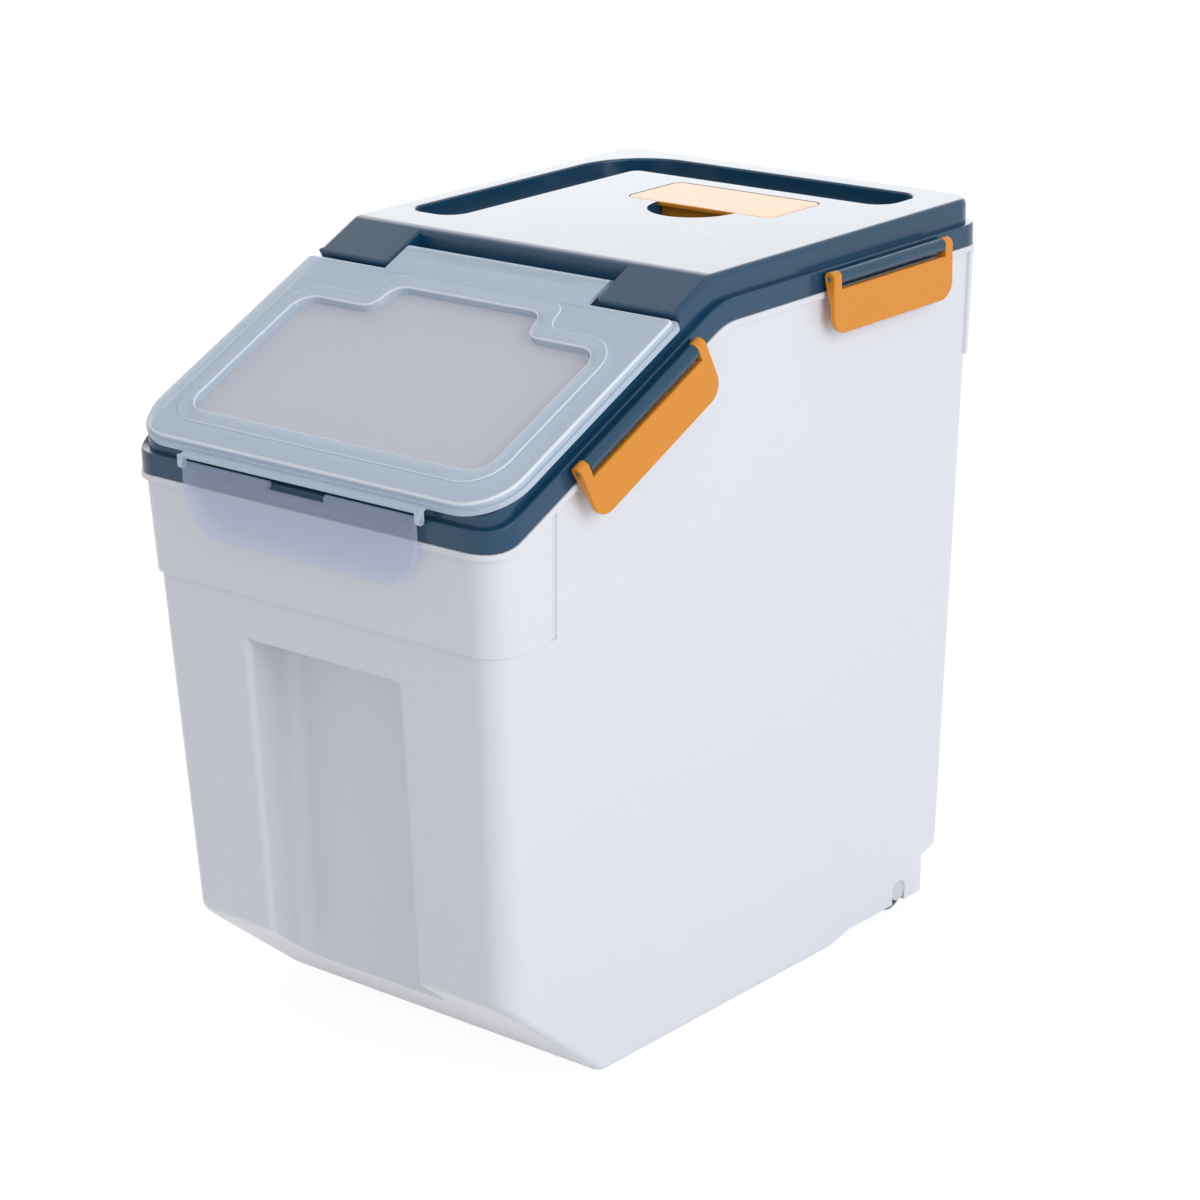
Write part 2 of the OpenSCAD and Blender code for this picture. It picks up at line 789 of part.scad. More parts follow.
module flip_lid() {
    hinge_at = slope_pt(-hinge_back, hinge_v);
    ledge_t = 2;
    color("#c4d0dc", 0.6) difference() {
        union() {
            on_slope() difference() {
                union() {
                    translate([0, 0, -flip_t]) linear_extrude(flip_t) flip_plan(flip_step_w);
                    flip_ring(0, flip_t, -flip_edge_h, -flip_step_d);
                    flip_ring(0, flip_step_w + flip_t, -flip_step_d - ledge_t, -flip_step_d);
                    flip_ring(flip_step_w, flip_step_w + flip_t, -flip_step_d - ledge_t, 0);
                    translate([-tongue_w / 2, flip_rear_u - 6, -flip_t])
                        cube([tongue_w, -hinge_back - flip_rear_u + 6, flip_t]);
                }
                // The rear edge clears the lid frame's raised seat.
                translate([-half_w + tier_out - 0.8, flip_rear_u - flip_t - 1, -far + seat_v + 0.7])
                    cube([2 * (half_w - tier_out + 0.8), far, far]);
            }
            // The window's tray, and the bead round the window.
            on_slope() translate([0, 0, -window_d - flip_t])
                linear_extrude(window_d + flip_t) mouth_plan(-tray_gap);
            on_slope() translate([0, 0, -flip_t])
                linear_extrude(flip_t + bead_h) mouth_plan(bead_w - tray_gap - flip_t);
            bar_x(-tongue_w / 2, tongue_w / 2, hinge_at, hinge_r);
            for (side = [-1, 1]) latch_lug(side);
        }
        on_slope() translate([0, 0, -window_d]) linear_extrude(far) mouth_plan(-tray_gap - flip_t);
        for (side = [-1, 1])
            bar_x(side * (tongue_w / 2 - 5) - 11, side * (tongue_w / 2 - 5) + 11, hinge_at,
                hinge_pin_r + run_gap, small_fn);
    }
}

module flip_lid_seal() {
    color("#d9dde2") on_slope() translate([0, 0, seat_v + gap])
        linear_extrude(-flip_t - seat_v - gap) difference() {
            mouth_plan(seal_gap + seal_w);
            mouth_plan(seal_gap);
        }
}

// ---- Front latch ----

module front_latch() {
    face_y = front_y - latch_proud;
    bottom = latch_top - latch_h;
    axis_at = [latch_axis_y, latch_axis_z];
    color("#c4d0dc", 0.6) {
        difference() {
            union() {
                translate([0, face_y + latch_t, 0]) rotate([90, 0, 0]) linear_extrude(latch_t)
                    difference() {
                        rounded(latch_w, bottom, latch_axis_z + latch_r + 1, latch_r);
                        translate([-latch_w, latch_axis_z]) square([2 * latch_w, latch_r + 2]);
                    }
                bar_x(-latch_w / 2, latch_w / 2, axis_at, latch_barrel_r, small_fn);
            }
            translate([-latch_slot_w / 2, face_y - 1, latch_axis_z - latch_barrel_r])
                cube([latch_slot_w, 10, 10]);
        }
        for (side = [0, 1]) mirror([side, 0, 0])
            bar_x(latch_w / 2 - 1, latch_w / 2 + stud_l, axis_at, latch_stud_r, small_fn);
        // The bead that hooks under the lid frame's catch.
        intersection() {
            bar_x(-latch_w / 2 + 10, latch_w / 2 - 10, [catch_y - gap - bead_r, catch_z - bead_r - 0.5],
                bead_r, small_fn);
            translate([-far / 2, face_y + latch_t - 0.5, 0]) cube([far, 10, far]);
        }
    }
}

// ---- Side clips ----

// A clip, with its pin at the origin.
module clip() {
    bottom = -clip_pin_h - clip_drop;
    plate_top = -clip_pin_h + 5;
    plate_x = clip_ear_r - clip_t;
    color("#e6942e") {
        difference() {
            union() {
                // Plate with rounded lower corners.
                translate([plate_x, 0, 0]) rotate([90, 0, 90]) linear_extrude(clip_t) difference() {
                    rounded(clip_l, bottom, plate_top + clip_corner_r + 2, clip_corner_r);
                    translate([-clip_l, plate_top]) square([2 * clip_l, 40]);
                }
                for (side = [-1, 1]) clip_ear(side);
            }
            bar_y(clip_l + 2, clip_pin_r + run_gap, small_fn);
        }
        // The ledge that hooks under the rim.
        translate([-hook_in, -knuckle_l / 2, -clip_pin_h - 0.4 - hook_t])
            cube([hook_in + plate_x + 0.5, knuckle_l, hook_t]);
    }
}

// One ear: round about the pin, tapering into the plate.
module clip_ear(side) {
    web_h = clip_pin_h + 4.5;
    translate([0, side * (clip_l - clip_ear_w) / 2, 0]) {
        bar_y(clip_ear_w, clip_ear_r);
        translate([0, clip_ear_w / 2, 0]) rotate([90, 0, 0]) linear_extrude(clip_ear_w) polygon([
            [clip_ear_r, 0], [-clip_ear_r, 0], [clip_ear_r - clip_t, -web_h], [clip_ear_r, -web_h]]);
    }
}

module clip_pin() {
    color("#c9ced4") bar_y(clip_l - 1, clip_pin_r, small_fn);
}

// ---- Moisture box ----

module moisture_box() {
    out = ledge_w;
    color("#e6942e") difference() {
        translate([0, 0, box_floor_z]) linear_extrude(box_h) cover_plan(out);
        translate([0, 0, box_floor_z + box_wall]) linear_extrude(far) cover_plan(out + box_wall);
        translate([0, 0, box_floor_z]) vents();
    }
}

module moisture_box_cover() {
    plug = ledge_w + box_wall + gap;
    color("#e6942e") {
        translate([0, 0, deck_z - cover_t]) linear_extrude(cover_t) cover_plan(0);
        translate([0, 0, deck_z - cover_t - 3]) linear_extrude(3.5) difference() {
            cover_plan(plug);
            cover_plan(plug + 1.4);
        }
    }
}

module clip_front_left() { at_clip(-1, true) clip(); }
module clip_front_right() { at_clip(1, true) clip(); }
module clip_rear_left() { at_clip(-1, false) clip(); }
module clip_rear_right() { at_clip(1, false) clip(); }
module clip_pin_front_left() { at_clip(-1, true) clip_pin(); }
module clip_pin_front_right() { at_clip(1, true) clip_pin(); }
module clip_pin_rear_left() { at_clip(-1, false) clip_pin(); }
module clip_pin_rear_right() { at_clip(1, false) clip_pin(); }
module axle_left() { axle(-1); }
module axle_right() { axle(1); }
module wheel_left() { wheel(-1); }
module wheel_right() { wheel(1); }
module flip_hinge_pin_left() { hinge_pin(-1); }
module flip_hinge_pin_right() { hinge_pin(1); }

bin_shell();
axle_left();
axle_right();
wheel_left();
wheel_right();
lid_frame();
lid_seal();
flip_hinge_pin_left();
flip_hinge_pin_right();
flip_lid();
flip_lid_seal();
front_latch();
clip_front_left();
clip_front_right();
clip_rear_left();
clip_rear_right();
clip_pin_front_left();
clip_pin_front_right();
clip_pin_rear_left();
clip_pin_rear_right();
moisture_box();
moisture_box_cover();
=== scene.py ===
"""A rice bin with a clip-down lid and a sloped flip lid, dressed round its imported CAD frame.

Every piece is in metres in the frame's own coordinates: +X is the bin's right, +Y its back, +Z up.
"""

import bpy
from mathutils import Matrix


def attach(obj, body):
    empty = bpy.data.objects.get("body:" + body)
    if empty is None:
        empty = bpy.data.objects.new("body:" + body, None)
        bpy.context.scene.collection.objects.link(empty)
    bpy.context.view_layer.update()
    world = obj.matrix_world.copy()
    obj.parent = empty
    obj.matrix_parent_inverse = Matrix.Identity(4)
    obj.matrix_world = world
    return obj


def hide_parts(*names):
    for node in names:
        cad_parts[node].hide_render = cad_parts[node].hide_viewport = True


bl_info = {
    "name": "Rice Bin With Flip Lid",
    "version": (1, 0, 0),
    "blender": (4, 5, 0),
    "location": "3D View > Sidebar > Rice Bin",
    "description": "Models the moulded bin, its lids, clips and latch, and lights them in a plain studio",
    "category": "Object",
}

import math

import bmesh
import bpy
from mathutils import Matrix, Vector

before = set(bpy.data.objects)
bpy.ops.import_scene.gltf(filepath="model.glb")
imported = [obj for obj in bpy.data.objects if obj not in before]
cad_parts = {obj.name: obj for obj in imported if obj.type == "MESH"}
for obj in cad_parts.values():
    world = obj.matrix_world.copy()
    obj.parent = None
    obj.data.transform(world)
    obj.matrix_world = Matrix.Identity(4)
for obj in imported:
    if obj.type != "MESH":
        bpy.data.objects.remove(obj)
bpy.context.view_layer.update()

MM = 0.001

# The rim's edges in plan, the level length at its front, its levels, the deck's level and how far it is above.
HALF_W = 127.5
FRONT_Y = -198.0
REAR_Y = 202.0
RIM_LEVEL_L = 11.0
RIM_FRONT_H = 297.0
RIM_REAR_H = 375.0
DECK_Z = 403.0
DECK_RISE = 28.0

# The slope: its angle and the deck's front edge, where it starts.
SLOPE_A = math.radians(25.5)
SLOPE_L = (RIM_REAR_H - RIM_FRONT_H) / math.tan(SLOPE_A)
FOLD_Y = FRONT_Y + RIM_LEVEL_L + SLOPE_L - DECK_RISE * math.tan(SLOPE_A / 2)
ON_SLOPE = Matrix.Translation((0, FOLD_Y * MM, DECK_Z * MM)) @ Matrix.Rotation(SLOPE_A, 4, "X")

# Setbacks from the rim's edge, and the corner radii in plan.
SKIRT_SET = 0.8
TIER_OUT = 4.8
TIER_HALF_W = HALF_W - TIER_OUT
RIM_R = 20.0

# How far above the rim's underside the skirt's step is, all round and at the front: at least and at most.
STEP_RISE = (12.0, 19.5)
STEP_FRONT_RISE = (14.9, 19.0)

# The collar band's edges.
COLLAR_FRONT_Z = RIM_FRONT_H - 50
COLLAR_REAR_Z = RIM_REAR_H - 57
COLLAR_FRONT_Y = FRONT_Y + 43
COLLAR_REAR_Y = REAR_Y - 17

# The upright groove beside the collar's front end: radius, depth, distance behind the end and gap below the rim.
GROOVE_R = 2.1
GROOVE_DEPTH = 1.95
GROOVE_SET = 4.1
GROOVE_TOP_GAP = 0.5

# The underside: the undercut nose, the wheel housing's front, and where the rounded edges start and end.
NOSE_Y = -110.0
NOSE_H = 60.0
NOSE_SPLIT = 60.0
HOUSE_Y = 122.6
BASE_EDGE_Y = HOUSE_Y - 45
BASE_EDGE_X = 108.0
CREASE_END_X = 57.0

# The side walls: their distance from the middle at floor height, and their lean.
WALL_BASE = 111.49
WALL_A = math.radians(2.124)

# The ears' outer front corners on the slope, where two roundings meet: how far in, up and down they reach.
EAR_CORNER_SET = 2.3
EAR_CORNER_U = -29.0
EAR_CORNER_V = -1.45
EAR_CORNER_WELD = 0.75

# The moisture box's cover: its middle, and how far its pocket reaches to each side and back.
COVER_X = 16.5
COVER_Y = 112.0
POCKET_HALF_W = 60.0
POCKET_BACK = 27.0

# Side clips: the pins' distance from the middle, the rear pins' place, and the front pins' place on the slope.
CLIP_X = 131.0
REAR_CLIP_AT = (106.0, 385.5)
FRONT_CLIP_U = -82.0
CLIP_PIN_V = -17.5

# One clip about its pin: its plate, the two ears with their eyes, and the ledge that hooks under the rim.
CLIP_HALF_L = 52.0
PLATE_X = (1.3, 3.8)
PLATE_Z = (-29.0, -5.5)
PLATE_CORNER_R = 10.0
EYE_Y = (45.5, 52.0)
EYE_R = 3.8
EYE_FOOT_Z = -15.0
EYE_BORE_R = 1.56
HOOK_X = (-3.1, 2.0)
HOOK_HALF_L = 45.2
HOOK_Z = (-12.9, -10.9)

# The flip lid's outline on the slope, its stepped edge and the seat that its rear clears.
FLIP_HALF_W = 126.7
FLIP_FRONT_U = -186.86
FLIP_REAR_U = -33.6
FLIP_CORNER_R = 28.0
FLIP_REAR_CORNER_R = 4.0
FLIP_STEP_SET = 1.8
FLIP_EDGE_V = (-6.2, -3.2)
FLIP_UPPER_V = (-3.3, 0.0)
SEAT_HALF_W = 123.5
SEAT_SET = 3.5
SEAT_V = -4.8

# Where cuts through the flip lid end, above it and below it.
CUT_TOP_V = 5.0
CUT_FOOT_V = -20.0

# The flip lid's tongue, hinge barrel and pin bores.
TONGUE_HALF_W = 69.0
TONGUE_V = (-2.2, -0.02)
HINGE_AT = (-18.0, -5.0)
HINGE_R = 4.98
PIN_BORE_X = (50.0, 80.0)
PIN_BORE_R = 2.06

# The flip lid's window: a rounded rectangle, and a bay towards the hinge that narrows to the rear.
WINDOW_HALF_W = 101.6
WINDOW_U = (-163.0, -67.4)
WINDOW_CORNER_R = 12.0
WINDOW_V = -4.0
BAY_HALF_W = 56.0
BAY_REAR_HALF_W = 50.0
BAY_REAR_U = -48.5
BAY_CORNER_R = 8.0
BAY_REACH = 70.0

# The thin ledge on the flip lid's front edge, above the latch's barrels.
LEDGE_HALF_W = 82.8
LEDGE_OUT = 4.6
LEDGE_V = (-6.1, -4.6)

# The front latch: its hinge axis, flap, barrels, slot and stiffening bead.
LATCH_AXIS = (-199.9, 311.7)
LATCH_HALF_W = 80.0
LATCH_Y = (-202.0, -200.0)
LATCH_FOOT_Z = 276.3
LATCH_CORNER_R = 24.0
LATCH_BARREL_R = 2.09
LATCH_SLOT_HALF_W = 20.0
LATCH_SLOT_Y = (-204.0, -190.0)
LATCH_SLOT_DROP = 2.1
LATCH_BEAD_HALF_W = 70.0
LATCH_BEAD_AT = (-200.2, 302.8)
LATCH_BEAD_R = 1.2

# The latch's studs, and the flip lid's lugs that carry them.
STUD_X = (79.0, 83.3)
STUD_R = 1.2
STUD_BORE_X = (79.0, 83.4)
STUD_BORE_R = 1.26
LUG_X = (80.3, 82.8)
LUG_R = 2.1
LUG_H = 5.2

# How near to each other points are merged, after a cut and after a rounding.
WELD = 0.01
ROUND_WELD = 0.02

PREFIX = "rice_bin"


def rim_z(y):
    """Height in millimetres of the rim's underside at a given y, with its bends left sharp."""
    rise = (y - FRONT_Y - RIM_LEVEL_L) * math.tan(SLOPE_A)
    return RIM_FRONT_H + min(max(rise, 0.0), RIM_REAR_H - RIM_FRONT_H)


def on_side(span, side):
    """A span along x or y on the positive side, or its mirror image where side is -1."""
    return sorted(side * end for end in span)


def from_outline(mid):
    """How far inside the rim's outline in plan a point in millimetres lies."""
    across = max(abs(mid.x) - HALF_W + RIM_R, 0)
    along = max(FRONT_Y + RIM_R - mid.y, mid.y - REAR_Y + RIM_R, 0)
    return RIM_R - math.hypot(across, along)


# ---- Modelling helpers ----


def activate(obj):
    """Leaves edit mode and makes obj the only selected object."""
    if bpy.context.object and bpy.context.object.mode != "OBJECT":
        bpy.ops.object.mode_set(mode="OBJECT")
    bpy.ops.object.select_all(action="DESELECT")
    if obj:
        obj.select_set(True)
        bpy.context.view_layer.objects.active = obj


def bake_place(obj):
    """Applies an object's place, turn and scale to its mesh."""
    activate(obj)
    bpy.ops.object.transform_apply(location=True, rotation=True, scale=True)


def block(name, x, y, z):
    """A cube primitive between two corners in millimetres."""
    activate(None)
    spans = (x, y, z)
    bpy.ops.mesh.primitive_cube_add(size=1.0, location=[(a + b) / 2 * MM for a, b in spans])
    obj = bpy.context.active_object
    obj.name = name
    obj.scale = [(b - a) * MM for a, b in spans]
    bake_place(obj)
    return obj


def rod(name, ends, at, radius, sides=48):
    """A cylinder primitive lying along x, from ends[0] to ends[1], about the point at = (y, z)."""
    activate(None)
    bpy.ops.mesh.primitive_cylinder_add(
        vertices=sides,
        radius=radius * MM,
        depth=(ends[1] - ends[0]) * MM,
        location=((ends[0] + ends[1]) / 2 * MM, at[0] * MM, at[1] * MM),
        rotation=(0, math.pi / 2, 0),
    )
    obj = bpy.context.active_object
    obj.name = name
    bake_place(obj)
    return obj


def node_copy(name, node):
    """A merged copy of a CAD node, with its flat faces made whole."""
    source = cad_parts[node]
    obj = source.copy()
    obj.data = source.data.copy()
    obj.parent = None
    obj.name = name
    bpy.context.collection.objects.link(obj)
    obj.data.materials.clear()
    whole_faces(obj)
    return obj


def open_mesh(obj, kind=None, action="SELECT"):
    """Opens an object in edit mode with all of it selected or none; kind is "verts", "edges" or "faces" if given."""
    activate(obj)
    bpy.ops.object.mode_set(mode="EDIT")
    if kind:
        bpy.context.tool_settings.mesh_select_mode = [kind == each for each in ("verts", "edges", "faces")]
    bpy.ops.mesh.select_all(action=action)


def close_mesh():
    """Leaves edit mode."""
    bpy.ops.object.mode_set(mode="OBJECT")


def pick(obj, kind, test):
    """Opens an object with only those verts, edges or faces selected that pass the test."""
    open_mesh(obj, kind, "DESELECT")
    mesh = bmesh.from_edit_mesh(obj.data)
    chosen = [part for part in getattr(mesh, kind) if test(part)]
    if not chosen:
        raise RuntimeError(f"none of the {kind} of {obj.name} was found")
    for part in chosen:
        part.select_set(True)
    bmesh.update_edit_mesh(obj.data)


def whole_faces(obj, angle=0.5):
    """Merges points that lie together, and faces that meet at less than the angle in degrees."""
    open_mesh(obj)
    bpy.ops.mesh.remove_doubles(threshold=WELD * MM)
    bpy.ops.mesh.dissolve_limited(angle_limit=math.radians(angle))
    close_mesh()


def round_edges(obj, test, width, steps=3):
    """Bevels, width in millimetres, the edges whose middle, direction and fold angle in degrees pass the test.

    The middle is in millimetres, and the fold is positive where the edge stands out.
    """

    def wanted(edge):
        a, b = (vert.co for vert in edge.verts)
        if len(edge.link_faces) != 2 or (b - a).length < 1e-4 * MM:
            return False
        fold = math.degrees(edge.calc_face_angle_signed(0.0))
        return test((a + b) / 2 / MM, (b - a).normalized(), fold)

    pick(obj, "edges", wanted)
    bpy.ops.mesh.bevel(
        offset=width * MM, segments=steps, profile=0.5, affect="EDGES", clamp_overlap=False, loop_slide=False
    )
    bpy.ops.mesh.select_all(action="SELECT")
    bpy.ops.mesh.remove_doubles(threshold=ROUND_WELD * MM)
    close_mesh()


def split_faces(obj, test, x):
    """Cuts the faces whose middle and normal pass the test at x and at -x, to keep a rounding's end in its corner."""
    for side in (-1, 1):
        pick(obj, "faces", lambda face: test(face.calc_center_median() / MM, face.normal))
        bpy.ops.mesh.bisect(plane_co=(side * x * MM, 0, 0), plane_no=(1, 0, 0))
        close_mesh()


def combine(obj, other, how):
    """Joins other to obj, or cuts it away, by an applied Boolean modifier."""
    activate(obj)
    modifier = obj.modifiers.new(how.title(), "BOOLEAN")
    modifier.operation = how
    modifier.object = other
    modifier.solver = "EXACT"
    bpy.ops.object.modifier_apply(modifier=modifier.name)
    bpy.data.objects.remove(other)
    whole_faces(obj)


def smooth(obj, angle=24):
    """Smooths all but the edges above the angle in degrees, and keeps the large flats flat."""
    activate(obj)
    bpy.ops.mesh.customdata_custom_splitnormals_clear()
    bpy.ops.object.shade_smooth_by_angle(angle=math.radians(angle))
    # Some edges above the angle stay smooth after that, so they are marked sharp as well.
    open_mesh(obj, "edges", "DESELECT")
    bpy.ops.mesh.edges_select_sharp(sharpness=math.radians(angle))
    bpy.ops.mesh.mark_sharp()
    close_mesh()
    modifier = obj.modifiers.new("Flats", "WEIGHTED_NORMAL")
    modifier.keep_sharp = True
    bpy.ops.object.modifier_apply(modifier=modifier.name)


def finish_piece(obj, body, nodes, material):
    """Gives a finished piece its material and its body, and hides the CAD nodes it stands for."""
    obj.data.materials.clear()
    obj.data.materials.append(material)
    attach(obj, body)
    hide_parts(*nodes)


def to_slope(obj):
    """Lays a piece modelled flat on the lid's slope."""
    obj.matrix_world = ON_SLOPE
    bake_place(obj)


def slope_uv(mid):
    """A point in millimetres as its distance up the slope and its height off the flip lid's top."""
    local = ON_SLOPE.inverted() @ (mid * MM) / MM
    return local.y, local.z


def upright(direction):
    """Whether an edge runs along z."""
    return abs(direction.z) > 0.99


def crossways(direction):
    """Whether an edge runs along x."""
    return abs(direction.x) > 0.99


def lengthways(direction):
    """Whether an edge runs along y."""
    return abs(direction.y) > 0.99


# ---- Materials ----


def srgb(code):
    """A hex colour as linear red, green, blue and alpha."""
    parts = [int(code[i : i + 2], 16) / 255 for i in (0, 2, 4)]
    return [p / 12.92 if p <= 0.04045 else ((p + 0.055) / 1.055) ** 2.4 for p in parts] + [1.0]


def add_node(tree, kind, inputs=None, **settings):
    """Adds a shader node with its settings; an input is a value, or the socket it is linked from."""
    made = tree.nodes.new(kind)
    for name, value in settings.items():
        setattr(made, name, value)
    for name, value in (inputs or {}).items():
        if isinstance(value, bpy.types.NodeSocket):
            tree.links.new(value, made.inputs[name])
        else:
            made.inputs[name].default_value = value
    return made


def new_material(name):
    """An empty node material and its tree."""
    material = bpy.data.materials.new(name)
    material.use_nodes = True
    material.node_tree.nodes.clear()
    return material, material.node_tree


def surface(tree, shader):
    """Makes a shader the material's surface."""
    add_node(tree, "ShaderNodeOutputMaterial", {"Surface": shader})


def noise(tree, place, wavelength, detail=2.0):
    """Noise in object space whose blobs are wavelength millimetres apart."""
    made = add_node(
        tree,
        "ShaderNodeTexNoise",
        {"Vector": place, "Scale": 1 / (wavelength * MM), "Detail": detail, "Roughness": 0.5},
    )
    return made.outputs["Fac"]


def relief(tree, height, depth):
    """Turns a 0 to 1 height into a bump depth millimetres deep."""
    made = add_node(tree, "ShaderNodeBump", {"Height": height, "Distance": depth * MM, "Strength": 1.0})
    return made.outputs["Normal"]


def spread(tree, value, low, high):
    """Maps 0 to 1 onto low to high."""
    made = add_node(tree, "ShaderNodeMapRange", {"Value": value, "To Min": low, "To Max": high})
    return made.outputs["Result"]


def seen_directly(tree):
    """1 for a ray from the camera, or one that a gloss or a clear wall sends on, and 0 for scattered light."""
    path = add_node(tree, "ShaderNodeLightPath")
    seen = path.outputs["Is Camera Ray"]
    for ray in ("Is Glossy Ray", "Is Transmission Ray"):
        either = add_node(tree, "ShaderNodeMath", {0: seen, 1: path.outputs[ray]}, operation="MAXIMUM")
        seen = either.outputs["Value"]
    return seen


def moulded_plastic(name, colour, rough, ior=1.49, sink=0.015, soft=0.0):
    """An injection-moulded plastic: a polished surface whose walls sink a little as they cool.

    The slow waves bend reflections gently, and the fine grain breaks the gloss up as a fingerprint of the mould.
    """
    material, tree = new_material(name)
    place = add_node(tree, "ShaderNodeTexCoord").outputs["Object"]
    waves = relief(tree, noise(tree, place, wavelength=55.0, detail=1.0), depth=sink * 4)
    grain = spread(tree, noise(tree, place, wavelength=3.0, detail=3.0), rough - 0.03, rough + 0.03)
    shader = add_node(
        tree,
        "ShaderNodeBsdfPrincipled",
        {"Base Color": srgb(colour), "Roughness": grain, "IOR": ior, "Normal": waves},
    )
    if soft:
        shader.inputs["Subsurface Weight"].default_value = soft
        shader.inputs["Subsurface Radius"].default_value = (1.0, 1.0, 1.0)
        shader.inputs["Subsurface Scale"].default_value = 2 * MM
    surface(tree, shader.outputs["BSDF"])
    return material


def translucent_plastic(name, colour, opacity, rough):
    """Unfilled polypropylene, milky and see-through: light passes it dimmed, and its skin stays glossy."""
    material, tree = new_material(name)
    place = add_node(tree, "ShaderNodeTexCoord").outputs["Object"]
    waves = relief(tree, noise(tree, place, wavelength=40.0, detail=1.0), depth=0.06)
    shader = add_node(
        tree,
        "ShaderNodeBsdfPrincipled",
        {"Base Color": srgb(colour), "Roughness": rough, "IOR": 1.49, "Alpha": opacity, "Normal": waves},
    )
    surface(tree, shader.outputs["BSDF"])
    return material


def silicone(name, colour):
    """Soft seal silicone: pale, matte and slightly dusty."""
    material, tree = new_material(name)
    place = add_node(tree, "ShaderNodeTexCoord").outputs["Object"]
    dust = spread(tree, noise(tree, place, wavelength=1.5, detail=4.0), low=0.55, high=0.7)
    shader = add_node(
        tree, "ShaderNodeBsdfPrincipled", {"Base Color": srgb(colour), "Roughness": dust, "IOR": 1.41}
    )
    surface(tree, shader.outputs["BSDF"])
    return material


def drawn_steel(name):
    """Cold-drawn stainless wire: bright, with fine lines from the die."""
    material, tree = new_material(name)
    place = add_node(tree, "ShaderNodeTexCoord").outputs["Object"]
    lines = spread(tree, noise(tree, place, wavelength=0.8), low=0.22, high=0.34)
    shader = add_node(
        tree, "ShaderNodeBsdfPrincipled", {"Base Color": srgb("c6c9cc"), "Metallic": 1.0, "Roughness": lines}
    )
    surface(tree, shader.outputs["BSDF"])
    return material


def finishes():
    """What makes each material, by the record's slot names and by the finishes that only this file has."""
    look = bpy.context.scene.rice_bin_colours
    return {
        "body_white": lambda: moulded_plastic("white_polypropylene_moulded", look.body, rough=0.32, soft=0.05),
        "lid_teal": lambda: moulded_plastic("teal_polypropylene_polished", look.lid, rough=0.2, sink=0.01),
        "flip_translucent": lambda: translucent_plastic(
            "milky_polypropylene_moulded", look.flip_lid, look.flip_opacity, rough=0.16
        ),
        "window_frosted": lambda: translucent_plastic(
            "milky_polypropylene_frosted", look.window, look.window_opacity, rough=0.35
        ),
        # The flip lid's roundings get a brighter, more opaque tint of the same plastic: a painted highlight along its
        # edges.
        "flip_painted_highlight": lambda: translucent_plastic(
            "milky_polypropylene_thick_edge", look.flip_painted_highlight, opacity=0.9, rough=0.16
        ),
        "latch_translucent": lambda: translucent_plastic(
            "clear_polypropylene_moulded", look.latch, look.latch_opacity, rough=0.16
        ),
        "orange_plastic": lambda: moulded_plastic("orange_polypropylene_moulded", look.clips, rough=0.3),
        "seal_silicone": lambda: silicone("seal_silicone_moulded", look.seals),
        "pin_steel": lambda: drawn_steel("stainless_steel_drawn"),
        "axle_plastic": lambda: moulded_plastic("acetal_axle_moulded", look.axles, rough=0.4, ior=1.48),
        "wheel_plastic": lambda: moulded_plastic("grey_wheel_plastic_moulded", look.wheels, rough=0.5),
    }


def finish_for(slot):
    """A slot's material, made the first time that it is asked for."""
    key = f"{PREFIX}_{slot}"
    known = bpy.context.scene.get(key)
    if known and known in bpy.data.materials:
        return bpy.data.materials[known]
    material = finishes()[slot]()
    bpy.context.scene[key] = material.name
    return material


# ---- Sizes and colours ----


class RiceBinSizes(bpy.types.PropertyGroup):
    """How far the moulded edges are rounded, and the flip lid's skin and bead."""

    base_round: bpy.props.FloatProperty(
        name="Base edge", description="Rounding round the bin's underside", default=4.0 * MM, unit="LENGTH", min=0.0
    )
    collar_round: bpy.props.FloatProperty(
        name="Collar edge", description="Rounding of the collar's steps", default=0.8 * MM, unit="LENGTH", min=0.0
    )
    flange_round: bpy.props.FloatProperty(
        name="Flange edge", description="Rounding of the rim flange", default=0.8 * MM, unit="LENGTH", min=0.0
    )
    deck_round: bpy.props.FloatProperty(
        name="Deck edge", description="Rounding of the lid's upper edge", default=3.4 * MM, unit="LENGTH", min=0.0
    )
    fold_round: bpy.props.FloatProperty(
        name="Fold", description="Setback of the round fold under the deck", default=2.6 * MM, unit="LENGTH", min=0.0
    )
    ear_round: bpy.props.FloatProperty(
        name="Ear edge",
        description="Rounding of the ears' front and inner edges",
        default=1.5 * MM,
        unit="LENGTH",
        min=0.0,
    )
    skirt_round: bpy.props.FloatProperty(
        name="Skirt edge", description="Rounding of the skirt's step", default=1.4 * MM, unit="LENGTH", min=0.0
    )
    trough_round: bpy.props.FloatProperty(
        name="Trough edge", description="Rounding of the trough's rim", default=1.6 * MM, unit="LENGTH", min=0.0
    )
    flip_skin: bpy.props.FloatProperty(
        name="Flip lid skin", description="Thickness of the flip lid", default=2.0 * MM, unit="LENGTH", min=0.5 * MM
    )
    bead_height: bpy.props.FloatProperty(
        name="Bead height",
        description="Height of the bead round the window",
        default=0.9 * MM,
        unit="LENGTH",
        min=0.0,
    )
    bead_width: bpy.props.FloatProperty(
        name="Bead width",
        description="Width of the bead round the window",
        default=9.0 * MM,
        unit="LENGTH",
        min=1.0 * MM,
    )


